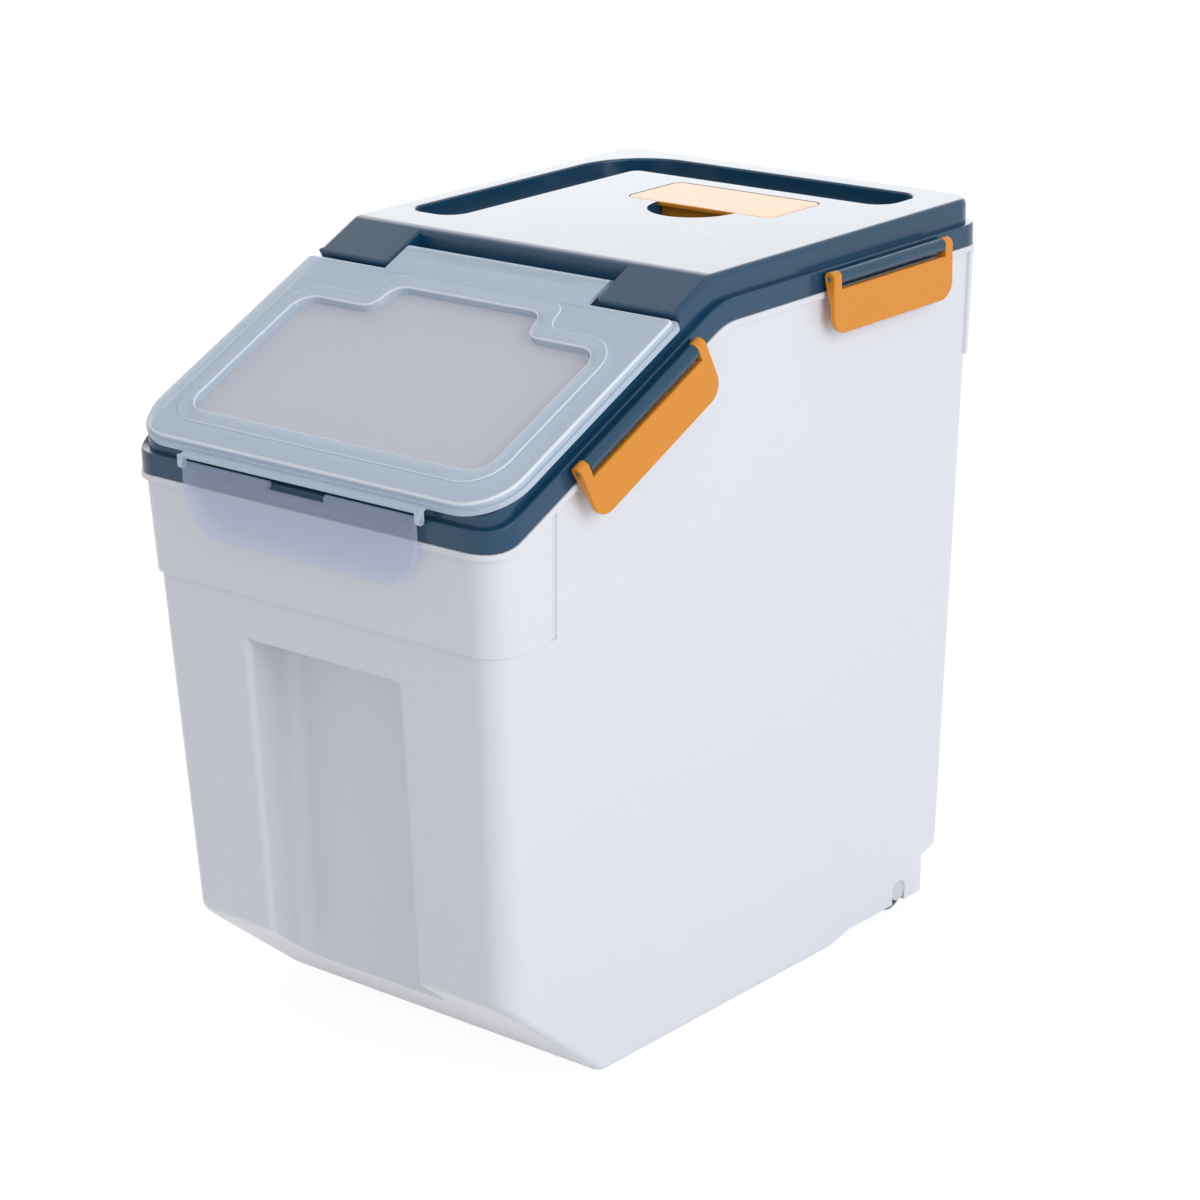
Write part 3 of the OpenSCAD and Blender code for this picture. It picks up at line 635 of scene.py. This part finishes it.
class RiceBinColours(bpy.types.PropertyGroup):
    """The plastics' colours, as sRGB hex codes."""

    body: bpy.props.StringProperty(name="Bin", description="Colour of the bin", default="e3e6ee")
    lid: bpy.props.StringProperty(name="Lid", description="Colour of the lid frame", default="134564")
    flip_lid: bpy.props.StringProperty(name="Flip lid", description="Tint of the flip lid", default="dfeeff")
    # A lighter tint for the flip lid's roundings that stands in for their highlights: a painted highlight.
    flip_painted_highlight: bpy.props.StringProperty(name="Flip lid edges", description="Tint of its roundings", default="f2f7ff")
    window: bpy.props.StringProperty(name="Window", description="Tint of the window's floor", default="ebecf6")
    latch: bpy.props.StringProperty(name="Latch", description="Tint of the latch", default="d0dcfd")
    clips: bpy.props.StringProperty(name="Clips", description="Colour of the clips", default="df8e1e")
    seals: bpy.props.StringProperty(name="Seals", description="Colour of the seals", default="dfe3e7")
    axles: bpy.props.StringProperty(name="Axles", description="Colour of the axles", default="ced2d8")
    wheels: bpy.props.StringProperty(name="Wheels", description="Colour of the wheels", default="5f646c")
    latch_opacity: bpy.props.FloatProperty(
        name="Latch opacity",
        description="Opacity of each surface of the latch",
        default=0.27,
        min=0.0,
        max=1.0,
        subtype="FACTOR",
    )
    flip_opacity: bpy.props.FloatProperty(
        name="Flip lid opacity",
        description="Opacity of each surface of the flip lid",
        default=0.6,
        min=0.0,
        max=1.0,
        subtype="FACTOR",
    )
    window_opacity: bpy.props.FloatProperty(
        name="Window opacity",
        description="Opacity of the window's floor",
        default=0.72,
        min=0.0,
        max=1.0,
        subtype="FACTOR",
    )


# ---- Pieces ----


class RICEBIN_OT_shell(bpy.types.Operator):
    """Rounds the moulded bin's edges"""

    bl_idname = "rice_bin.shell"
    bl_label = "Bin shell"

    def execute(self, context):
        sizes = context.scene.rice_bin_sizes
        shell = node_copy("bin_body", "bin_shell")
        for side in (-1, 1):
            combine(shell, self.groove(side), "DIFFERENCE")
        split_faces(shell, self.on_nose, NOSE_SPLIT)
        split_faces(shell, self.under_rear_rim, HALF_W - RIM_R)
        round_edges(shell, self.at_base, sizes.base_round / MM, steps=4)
        round_edges(shell, self.at_collar, sizes.collar_round / MM, steps=2)
        round_edges(shell, self.at_flange, sizes.flange_round / MM, steps=2)
        smooth(shell)
        finish_piece(shell, "bin", ["bin_shell"], finish_for("body_white"))
        return {"FINISHED"}

    def groove(self, side):
        """What a narrow groove takes from the side wall beside the collar's end."""
        low, high = COLLAR_FRONT_Z, rim_z(COLLAR_FRONT_Y) - GROOVE_TOP_GAP
        middle = (low + high) / 2
        activate(None)
        bpy.ops.mesh.primitive_cylinder_add(
            vertices=32,
            radius=GROOVE_R * MM,
            depth=(high - low) * MM,
            location=(
                side * (WALL_BASE + middle * math.tan(WALL_A) + GROOVE_R - GROOVE_DEPTH) * MM,
                (COLLAR_FRONT_Y + GROOVE_SET) * MM,
                middle * MM,
            ),
            rotation=(0, side * WALL_A, 0),
        )
        cutter = bpy.context.active_object
        cutter.name = "groove"
        bake_place(cutter)
        return cutter

    @staticmethod
    def on_nose(mid, normal):
        """The undercut nose below the front wall."""
        return mid.y < NOSE_Y and mid.z < NOSE_H and -0.9 < normal.z < -0.3 and abs(normal.x) < 0.1

    @staticmethod
    def under_rear_rim(mid, normal):
        """The underside of the rim flange along the back."""
        return mid.y > REAR_Y - RIM_R and abs(mid.z - RIM_REAR_H) < 0.1 and normal.z < -0.9

    @staticmethod
    def at_base(mid, way, fold):
        """The outer edges round the underside: along the sides and the crease, and the nose's front edge."""
        on_crease = mid.y < NOSE_Y and (abs(mid.x) > CREASE_END_X or mid.z < 1)
        outside = abs(mid.x) > BASE_EDGE_X or on_crease
        low = mid.z < NOSE_H + 1 and mid.y < BASE_EDGE_Y and abs(way.z) < 0.9
        return outside and low and 20 < fold < 100

    @staticmethod
    def at_collar(mid, way, fold):
        """The lower and rear edges of the collar band."""
        low_front = abs(mid.z - COLLAR_FRONT_Z) < 0.5 and mid.y < COLLAR_FRONT_Y + 1
        low_rear = abs(mid.z - COLLAR_REAR_Z) < 0.5 and mid.y > COLLAR_REAR_Y - 1
        low = abs(way.z) < 0.2 and (low_front or low_rear)
        side = abs(way.z) > 0.9 and min(abs(mid.y - COLLAR_FRONT_Y), abs(mid.y - COLLAR_REAR_Y)) < 0.5
        return (low or side) and fold > 60

    @staticmethod
    def at_flange(mid, way, fold):
        """The upper and lower edge of the rim flange."""
        return from_outline(mid) < 0.15 and fold > 60


class RICEBIN_OT_lid_frame(bpy.types.Operator):
    """Rounds the lid frame's deck, ears, skirt and trough"""

    bl_idname = "rice_bin.lid_frame"
    bl_label = "Lid frame"

    def execute(self, context):
        sizes = context.scene.rice_bin_sizes
        lid = node_copy("lid_deck", "lid_frame")
        split_faces(lid, self.on_step, HALF_W - RIM_R)
        round_edges(lid, self.at_deck_edge, sizes.deck_round / MM, steps=5)
        round_edges(lid, self.at_fold, sizes.fold_round / MM, steps=4)
        round_edges(lid, self.at_ear_edge, sizes.ear_round / MM, steps=4)
        self.join_roundings(lid)
        round_edges(lid, self.at_skirt_edge, sizes.skirt_round / MM)
        round_edges(lid, self.at_trough_rim, sizes.trough_round / MM)
        smooth(lid)
        finish_piece(lid, "lid", ["lid_frame"], finish_for("lid_teal"))
        return {"FINISHED"}

    def join_roundings(self, lid):
        """Merges the crowded points where the two roundings meet at each ear's corner."""

        def at_corner(vert):
            u, v = slope_uv(vert.co / MM)
            outside = abs(vert.co.x) / MM > TIER_HALF_W - EAR_CORNER_SET
            return outside and u < EAR_CORNER_U and v > EAR_CORNER_V

        pick(lid, "verts", at_corner)
        bpy.ops.mesh.remove_doubles(threshold=EAR_CORNER_WELD * MM)
        close_mesh()

    @staticmethod
    def on_step(mid, normal):
        """The top of the skirt's step at the front."""
        low, high = (RIM_FRONT_H + rise for rise in STEP_FRONT_RISE)
        return mid.y < FRONT_Y + 12 and low < mid.z < high and normal.z > 0.85

    @staticmethod
    def at_fold(mid, way, fold):
        """The fold between the level deck and the slope."""
        return abs(mid.y - FOLD_Y) < 0.1 and abs(mid.z - DECK_Z) < 0.1 and abs(way.x) > 0.9 and fold > 20

    @staticmethod
    def at_deck_edge(mid, way, fold):
        """The outer edge of the deck and of the ears."""
        u, v = slope_uv(mid)
        on_top = mid.z > DECK_Z - 1.0 or v > -1.0
        return fold > 50 and on_top and abs(from_outline(mid) - TIER_OUT) < 0.5

    @staticmethod
    def at_ear_edge(mid, way, fold):
        """The front and inner edges of the ears, and the edge over the tongue between them."""
        u, v = slope_uv(mid)
        return fold > 50 and abs(v) < 0.05 and u < -2 and abs(mid.x) < TIER_HALF_W - 0.5

    @staticmethod
    def at_skirt_edge(mid, way, fold):
        """The upper edge of the skirt's step."""
        on_step = STEP_RISE[0] < mid.z - rim_z(mid.y) < STEP_RISE[1]
        return on_step and fold > 50 and abs(from_outline(mid) - SKIRT_SET) < 0.3

    @staticmethod
    def at_trough_rim(mid, way, fold):
        """The trough's upper edge in the deck."""
        inside = abs(mid.x) < TIER_HALF_W - 5 and mid.y < REAR_Y - TIER_OUT - 5
        on_deck = mid.z > DECK_Z - 0.05 and mid.y > FOLD_Y + 2
        off_pocket = abs(mid.x - COVER_X) > POCKET_HALF_W or mid.y > COVER_Y + POCKET_BACK
        return inside and on_deck and off_pocket and fold > 50


def window_form(name, grow, v):
    """The window's outline grown by grow, between the levels v: a rounded rectangle with a soft-shouldered bay."""
    front, rear = WINDOW_U
    form = block(name, (-WINDOW_HALF_W - grow, WINDOW_HALF_W + grow), (front - grow, rear + grow), v)
    round_edges(form, lambda mid, way, fold: upright(way), WINDOW_CORNER_R + grow, steps=10)
    bay = block("bay", (-BAY_HALF_W - grow, BAY_HALF_W + grow), (rear - 30, BAY_REAR_U + grow), v)
    # The bay narrows towards the hinge.
    pick(bay, "verts", lambda vert: vert.co.y > (BAY_REAR_U - 5) * MM)
    narrower = (BAY_REAR_HALF_W + grow) / (BAY_HALF_W + grow)
    bpy.ops.transform.resize(value=(narrower, 1, 1), center_override=(0, 0, 0))
    close_mesh()
    combine(form, bay, "UNION")
    round_edges(
        form,
        lambda mid, way, fold: upright(way) and abs(mid.x) < BAY_REACH + grow and mid.y > rear - 5,
        BAY_CORNER_R,
        steps=6,
    )
    return form


class RICEBIN_OT_flip_lid(bpy.types.Operator):
    """Models the see-through flip lid with its stepped edge, beaded window and hinge barrel"""

    bl_idname = "rice_bin.flip_lid"
    bl_label = "Flip lid"

    def execute(self, context):
        sizes = context.scene.rice_bin_sizes
        lid = self.shell(sizes.flip_skin / MM, sizes.bead_width / MM, sizes.bead_height / MM)
        combine(lid, self.ledge(), "UNION")
        self.add_hinge(lid)
        to_slope(lid)
        self.add_lugs(lid)
        smooth(lid)
        finish_piece(lid, "flip_lid", ["flip_lid"], finish_for("flip_translucent"))
        self.dress_faces(lid)
        return {"FINISHED"}

    def shell(self, skin, bead_width, bead_height):
        """The stepped panel, hollow below, with its window in a raised bead."""
        lid = self.rounded_panel("flip_panel", 0.0, FLIP_EDGE_V)
        upper = self.rounded_panel("upper", FLIP_STEP_SET, FLIP_UPPER_V)
        round_edges(upper, lambda mid, way, fold: mid.z > -0.1, width=2.0, steps=4)
        combine(lid, upper, "UNION")
        bead = window_form("bead", bead_width, (-1.0, bead_height))
        round_edges(bead, lambda mid, way, fold: mid.z > 0.2, bead_height * 0.9, steps=4)
        combine(lid, bead, "UNION")
        combine(lid, window_form("window", 0.0, (WINDOW_V, CUT_TOP_V)), "DIFFERENCE")
        combine(lid, self.cavity(skin), "DIFFERENCE")
        # The rear edge clears the lid frame's raised seat.
        seat = ((-SEAT_HALF_W, SEAT_HALF_W), (FLIP_REAR_U - SEAT_SET, 0.0), (CUT_FOOT_V, SEAT_V))
        combine(lid, block("clearance", *seat), "DIFFERENCE")
        round_edges(lid, self.at_window_lip, width=0.8)
        return lid

    def ledge(self):
        """The ledge on the front edge that covers the latch's barrels."""
        across = (-LEDGE_HALF_W, LEDGE_HALF_W)
        ledge = block("ledge", across, (FLIP_FRONT_U - LEDGE_OUT, FLIP_FRONT_U + 1.0), LEDGE_V)
        top = LEDGE_V[1] - 0.1
        round_edges(ledge, lambda mid, way, fold: upright(way) and mid.y < FLIP_FRONT_U, width=2.0, steps=5)
        round_edges(ledge, lambda mid, way, fold: mid.z > top and mid.y < FLIP_FRONT_U, width=0.5, steps=2)
        return ledge

    def add_hinge(self, lid):
        """The tongue between the ears, and its barrel with a bore for each hinge pin."""
        across = (-TONGUE_HALF_W, TONGUE_HALF_W)
        combine(lid, block("tongue", across, (FLIP_REAR_U - 5, HINGE_AT[0]), TONGUE_V), "UNION")
        combine(lid, rod("barrel", across, HINGE_AT, HINGE_R), "UNION")
        for side in (-1, 1):
            combine(lid, rod("bore", on_side(PIN_BORE_X, side), HINGE_AT, PIN_BORE_R, sides=24), "DIFFERENCE")

    def add_lugs(self, lid):
        """The lugs below the front edge, with a bore for each of the latch's studs."""
        for side in (-1, 1):
            combine(lid, self.lug(on_side(LUG_X, side)), "UNION")
            bore = rod("stud_bore", on_side(STUD_BORE_X, side), LATCH_AXIS, STUD_BORE_R, sides=24)
            combine(lid, bore, "DIFFERENCE")

    def dress_faces(self, lid):
        """Gives the window's floor its matt finish, and the roundings a brighter, more opaque tint of the same
        plastic as a painted highlight.
        """
        for slot, test in (("window_frosted", self.on_window), ("flip_painted_highlight", self.on_highlight_rounding)):
            lid.data.materials.append(finish_for(slot))
            pick(lid, "faces", test)
            lid.active_material_index = len(lid.data.materials) - 1
            bpy.ops.object.material_slot_assign()
            close_mesh()

    @staticmethod
    def on_window(face):
        """The floor of the window's recess."""
        mid = face.calc_center_median() / MM
        u, v = slope_uv(mid)
        inside = abs(mid.x) < WINDOW_HALF_W and WINDOW_U[0] < u < BAY_REAR_U
        return inside and abs(v - WINDOW_V) < 0.1

    @staticmethod
    def on_highlight_rounding(face):
        """A face above the window's floor that neither lies flat on the slope nor stands upright on it: one that gets
        the painted highlight.
        """
        up = Vector((0, -math.sin(SLOPE_A), math.cos(SLOPE_A)))
        u, v = slope_uv(face.calc_center_median() / MM)
        return 0.2 < face.normal.dot(up) < 0.97 and v > WINDOW_V + 0.1 and u < FLIP_REAR_U - 1

    def rounded_panel(self, name, inset, v):
        """A panel of the flip lid's outline, drawn in by inset, with round front corners and small rear ones."""
        panel = block(
            name,
            (-FLIP_HALF_W + inset, FLIP_HALF_W - inset),
            (FLIP_FRONT_U + inset, FLIP_REAR_U - inset),
            v,
        )
        round_edges(panel, lambda mid, way, fold: upright(way) and mid.y < -100, FLIP_CORNER_R - inset, steps=14)
        round_edges(panel, lambda mid, way, fold: upright(way) and mid.y > -100, FLIP_REAR_CORNER_R, steps=4)
        return panel

    @staticmethod
    def at_window_lip(mid, way, fold):
        """The upper edge of the window's recess: level, convex and inside the bead."""
        inside = abs(mid.x) < WINDOW_HALF_W + 1 and WINDOW_U[0] - 1 < mid.y < BAY_REAR_U + 1
        return inside and mid.z > 0.5 and abs(way.z) < 0.1 and fold > 60

    def cavity(self, skin):
        """What is hollow under the panel: the stepped inside, less the window's tray."""
        space = self.rounded_panel("cavity", skin, (-8.0, FLIP_EDGE_V[1] - skin))
        upper = self.rounded_panel("upper_cavity", FLIP_STEP_SET + skin, (-6.0, -skin))
        combine(space, upper, "UNION")
        combine(space, window_form("tray", skin, (WINDOW_V - skin, CUT_TOP_V)), "DIFFERENCE")
        return space

    def lug(self, ends):
        """A lug that carries one end of the latch: a round eye on a web up to the panel's edge."""
        y, z = LATCH_AXIS
        eye = rod("lug", ends, LATCH_AXIS, LUG_R, sides=24)
        web = block("web", ends, (y - LUG_R, y + LUG_R), (z, z + LUG_H))
        combine(eye, web, "UNION")
        return eye


class RICEBIN_OT_front_latch(bpy.types.Operator):
    """Models the front latch: a rounded flap with a finger slot between its hinge barrels"""

    bl_idname = "rice_bin.front_latch"
    bl_label = "Front latch"

    def execute(self, context):
        z = LATCH_AXIS[1]
        across = (-LATCH_HALF_W, LATCH_HALF_W)
        flap = block("latch_flap", across, LATCH_Y, (LATCH_FOOT_Z, z))
        at_foot = LATCH_FOOT_Z + 1
        on_front = LATCH_Y[0] + 0.1
        round_edges(flap, lambda mid, way, fold: lengthways(way) and mid.z < at_foot, LATCH_CORNER_R, steps=14)
        round_edges(flap, lambda mid, way, fold: mid.y < on_front and mid.z < z - 1, width=0.7)
        combine(flap, rod("barrel", across, LATCH_AXIS, LATCH_BARREL_R, sides=24), "UNION")
        bead = rod("bead", (-LATCH_BEAD_HALF_W, LATCH_BEAD_HALF_W), LATCH_BEAD_AT, LATCH_BEAD_R, sides=16)
        combine(flap, bead, "UNION")
        slot = block("slot", (-LATCH_SLOT_HALF_W, LATCH_SLOT_HALF_W), LATCH_SLOT_Y, (z - LATCH_SLOT_DROP, z + 6))
        combine(flap, slot, "DIFFERENCE")
        for side in (-1, 1):
            combine(flap, rod("stud", on_side(STUD_X, side), LATCH_AXIS, STUD_R, sides=24), "UNION")
        smooth(flap)
        finish_piece(flap, "front_latch", ["front_latch"], finish_for("latch_translucent"))
        return {"FINISHED"}


class RICEBIN_OT_clips(bpy.types.Operator):
    """Models one side clip and copies it to its four places"""

    bl_idname = "rice_bin.clips"
    bl_label = "Side clips"

    def execute(self, context):
        first = self.model()
        rear = Matrix.Translation((CLIP_X * MM, REAR_CLIP_AT[0] * MM, REAR_CLIP_AT[1] * MM))
        front = ON_SLOPE @ Matrix.Translation((CLIP_X * MM, FRONT_CLIP_U * MM, CLIP_PIN_V * MM))
        across = Matrix.Scale(-1, 4, (1, 0, 0))
        for name, place in (
            ("clip_front_left", across @ front),
            ("clip_front_right", front),
            ("clip_rear_left", across @ rear),
            ("clip_rear_right", rear),
        ):
            clip = first.copy()
            clip.data = first.data.copy()
            clip.name = name.replace("clip", "side_clip")
            context.collection.objects.link(clip)
            clip.matrix_world = place
            bake_place(clip)
            if place.determinant() < 0:
                self.outwards(clip)
            smooth(clip)
            finish_piece(clip, name, [name], finish_for("orange_plastic"))
        bpy.data.objects.remove(first)
        return {"FINISHED"}

    def model(self):
        """A clip about its pin: plate, two ears with eyes, and the ledge that hooks under the rim."""
        clip = block("clip", PLATE_X, (-CLIP_HALF_L, CLIP_HALF_L), PLATE_Z)
        at_foot = PLATE_Z[0] + 1
        round_edges(clip, lambda mid, way, fold: crossways(way) and mid.z < at_foot, PLATE_CORNER_R, steps=8)
        for side in (-1, 1):
            combine(clip, self.ear(side), "UNION")
        self.clear_root(clip)
        combine(clip, block("ledge", HOOK_X, (-HOOK_HALF_L, HOOK_HALF_L), HOOK_Z), "UNION")
        round_edges(clip, self.outer_rim, width=0.7)
        return clip

    def clear_root(self, clip):
        """Dissolves the plate's upper inner corners, which the ears' flush ends have swallowed."""
        corner = Vector((PLATE_X[0], CLIP_HALF_L, PLATE_Z[1]))

        def at_root(vert):
            x, y, z = vert.co / MM
            return (Vector((x, abs(y), z)) - corner).length < WELD

        pick(clip, "verts", at_root)
        bpy.ops.mesh.dissolve_verts()
        close_mesh()

    def ear(self, side):
        """One ear: a web that narrows into the plate below and is rounded about its pin above."""
        y = on_side(EYE_Y, side)
        ear = block("ear", (-EYE_R, EYE_R), y, (EYE_FOOT_Z, EYE_R))
        # The web's inner lower edge is drawn out to the plate.
        pick(ear, "verts", lambda vert: vert.co.x < 0 and vert.co.z < 0)
        bpy.ops.transform.translate(value=((EYE_R + PLATE_X[0]) * MM, 0, 0))
        close_mesh()
        at_top = EYE_R - 0.5
        round_edges(ear, lambda mid, way, fold: lengthways(way) and mid.z > at_top, EYE_R - 0.05, steps=8)
        combine(ear, self.pin_bore(y), "DIFFERENCE")
        return ear

    def pin_bore(self, y):
        """What the pin's bore takes from an ear: a rod turned to lie along y."""
        bore = rod("bore", (y[0] - 1, y[1] + 1), (0, 0), EYE_BORE_R, sides=24)
        open_mesh(bore)
        bpy.ops.transform.rotate(value=math.radians(-90), orient_axis="Z", center_override=(0, 0, 0))
        close_mesh()
        return bore

    def outer_rim(self, mid, way, fold):
        """The edges of the outer face and of the ears' ends, away from the bores."""
        off_bore = math.hypot(mid.x, mid.z) > EYE_BORE_R + 1
        on_end = abs(mid.y) > CLIP_HALF_L - 0.1 and mid.z > PLATE_Z[1] + 0.1
        return fold > 50 and (mid.x > PLATE_X[1] - 0.1 or (on_end and off_bore))

    def outwards(self, clip):
        """Turns a mirrored clip's normals outwards."""
        open_mesh(clip)
        bpy.ops.mesh.normals_make_consistent(inside=False)
        close_mesh()


class RICEBIN_OT_moisture_cover(bpy.types.Operator):
    """Rounds the moisture box's cover"""

    bl_idname = "rice_bin.moisture_cover"
    bl_label = "Moisture box cover"

    def execute(self, context):
        cover = node_copy("moisture_lid", "moisture_box_cover")
        round_edges(cover, lambda mid, way, fold: mid.z > DECK_Z - 0.1 and fold > 60, width=0.8)
        smooth(cover)
        finish_piece(
            cover, "moisture_cover", ["moisture_box_cover"], finish_for("orange_plastic")
        )
        return {"FINISHED"}


class RICEBIN_OT_finishes(bpy.types.Operator):
    """Gives the kept construction nodes their moulded and drawn finishes"""

    bl_idname = "rice_bin.finishes"
    bl_label = "Finishes of kept parts"

    def execute(self, context):
        kept = {
            "axle_left": "axle_plastic",
            "axle_right": "axle_plastic",
            "wheel_left": "wheel_plastic",
            "wheel_right": "wheel_plastic",
            "lid_seal": "seal_silicone",
            "flip_lid_seal": "seal_silicone",
            "flip_hinge_pin_left": "pin_steel",
            "flip_hinge_pin_right": "pin_steel",
            "clip_pin_front_left": "pin_steel",
            "clip_pin_front_right": "pin_steel",
            "clip_pin_rear_left": "pin_steel",
            "clip_pin_rear_right": "pin_steel",
            "moisture_box": "orange_plastic",
        }
        for name, slot in kept.items():
            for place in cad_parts[name].material_slots:
                place.material = finish_for(slot)
        return {"FINISHED"}


# ---- Studio ----


class RICEBIN_OT_stage(bpy.types.Operator):
    """Sets up the white studio, its lights and the camera"""

    bl_idname = "rice_bin.stage"
    bl_label = "Studio"

    def execute(self, context):
        scene = context.scene
        scene.view_settings.view_transform = "Standard"
        self.world(scene)
        self.floor()
        # A tall softbox on the right, and a broad one behind that the deck mirrors.
        self.softbox("softbox_right", at=(1.9, -0.35, 1.0), to=(0.0, 0.0, 0.2), size=(1.2, 1.4), power=16.0)
        self.softbox("softbox_rear", at=(-1.05, 1.2, 0.95), to=(0.0, 0.05, 0.4), size=(1.7, 1.1), power=10.6)
        self.camera(scene)
        return {"FINISHED"}

    def world(self, scene):
        """An even pale surround for the light, and clean white where it is seen, also by gloss or through a wall."""
        world = bpy.data.worlds.new("studio")
        world.use_nodes = True
        tree = world.node_tree
        tree.nodes.clear()
        level = spread(tree, seen_directly(tree), low=0.58, high=1.0)
        back = add_node(tree, "ShaderNodeBackground", {"Color": (1, 1, 1, 1), "Strength": level})
        add_node(tree, "ShaderNodeOutputWorld", {"Surface": back.outputs["Background"]})
        scene.world = world

    def floor(self):
        """A pale floor that takes the bin's shadow, with a glow that only direct looks see."""
        activate(None)
        bpy.ops.mesh.primitive_plane_add(size=12.0, location=(0, 0, 0))
        floor = bpy.context.active_object
        floor.name = "studio_floor"
        material, tree = new_material("studio_floor_paper")
        paper = add_node(
            tree, "ShaderNodeBsdfPrincipled", {"Base Color": (0.85, 0.85, 0.86, 1.0), "Roughness": 0.9}
        )
        glow = add_node(tree, "ShaderNodeEmission", {"Color": (1, 1, 1, 1), "Strength": 1.08})
        share = spread(tree, seen_directly(tree), low=0.0, high=0.86)
        mix = add_node(tree, "ShaderNodeMixShader", {0: share, 1: paper.outputs["BSDF"], 2: glow.outputs["Emission"]})
        surface(tree, mix.outputs["Shader"])
        floor.data.materials.append(material)

    def softbox(self, name, at, to, size, power):
        """A rectangular area light that the camera doesn't see, facing a point."""
        activate(None)
        bpy.ops.object.light_add(type="AREA", location=at)
        lamp = bpy.context.active_object
        lamp.name = name
        lamp.data.shape = "RECTANGLE"
        lamp.data.size, lamp.data.size_y = size
        lamp.data.energy = power
        lamp.rotation_euler = (Vector(to) - Vector(at)).to_track_quat("-Z", "Y").to_euler()
        lamp.visible_camera = False

    def camera(self, scene):
        """The catalogue view: from the front right, looking a little down."""
        yaw, pitch, roll = (math.radians(turn) for turn in (41.04, 18.60, -1.37))
        ahead = Vector((-math.sin(yaw) * math.cos(pitch), math.cos(yaw) * math.cos(pitch), -math.sin(pitch)))
        right = Vector((math.cos(yaw), math.sin(yaw), 0))
        up = right.cross(ahead)
        across = right * math.cos(roll) + up * math.sin(roll)
        upward = up * math.cos(roll) - right * math.sin(roll)
        activate(None)
        bpy.ops.object.camera_add(location=(1.1529, -1.3026, 0.7863))
        camera = bpy.context.active_object
        camera.rotation_euler = Matrix((across, upward, -ahead)).transposed().to_euler()
        camera.data.lens = 102.53
        camera.data.sensor_width = 36.0
        camera.data.shift_y = 0.0016
        camera.data.clip_end = 50.0
        scene.camera = camera


class RICEBIN_PT_panel(bpy.types.Panel):
    """Rice bin: sizes, colours and the steps that build it"""

    bl_idname = "RICEBIN_PT_panel"
    bl_label = "Rice Bin"
    bl_space_type = "VIEW_3D"
    bl_region_type = "UI"
    bl_category = "Rice Bin"

    def draw(self, context):
        layout = self.layout
        for group in (context.scene.rice_bin_sizes, context.scene.rice_bin_colours):
            box = layout.box()
            for key in group.bl_rna.properties.keys():
                if key not in ("rna_type", "name"):
                    box.prop(group, key)
        for step in STEPS:
            layout.operator(step.bl_idname)


STEPS = (
    RICEBIN_OT_shell,
    RICEBIN_OT_lid_frame,
    RICEBIN_OT_flip_lid,
    RICEBIN_OT_front_latch,
    RICEBIN_OT_clips,
    RICEBIN_OT_moisture_cover,
    RICEBIN_OT_finishes,
    RICEBIN_OT_stage,
)
CLASSES = (RiceBinSizes, RiceBinColours, *STEPS, RICEBIN_PT_panel)


def register():
    """Adds the classes, and the scene's sizes and colours."""
    for cls in CLASSES:
        bpy.utils.register_class(cls)
    bpy.types.Scene.rice_bin_sizes = bpy.props.PointerProperty(type=RiceBinSizes)
    bpy.types.Scene.rice_bin_colours = bpy.props.PointerProperty(type=RiceBinColours)


def unregister():
    """Takes the classes, sizes and colours out again."""
    del bpy.types.Scene.rice_bin_colours
    del bpy.types.Scene.rice_bin_sizes
    for cls in reversed(CLASSES):
        bpy.utils.unregister_class(cls)


def main():
    """Builds the dressed bin in its studio."""
    register()
    bpy.ops.rice_bin.shell()
    bpy.ops.rice_bin.lid_frame()
    bpy.ops.rice_bin.flip_lid()
    bpy.ops.rice_bin.front_latch()
    bpy.ops.rice_bin.clips()
    bpy.ops.rice_bin.moisture_cover()
    bpy.ops.rice_bin.finishes()
    bpy.ops.rice_bin.stage()


if __name__ == "__main__":
    main()
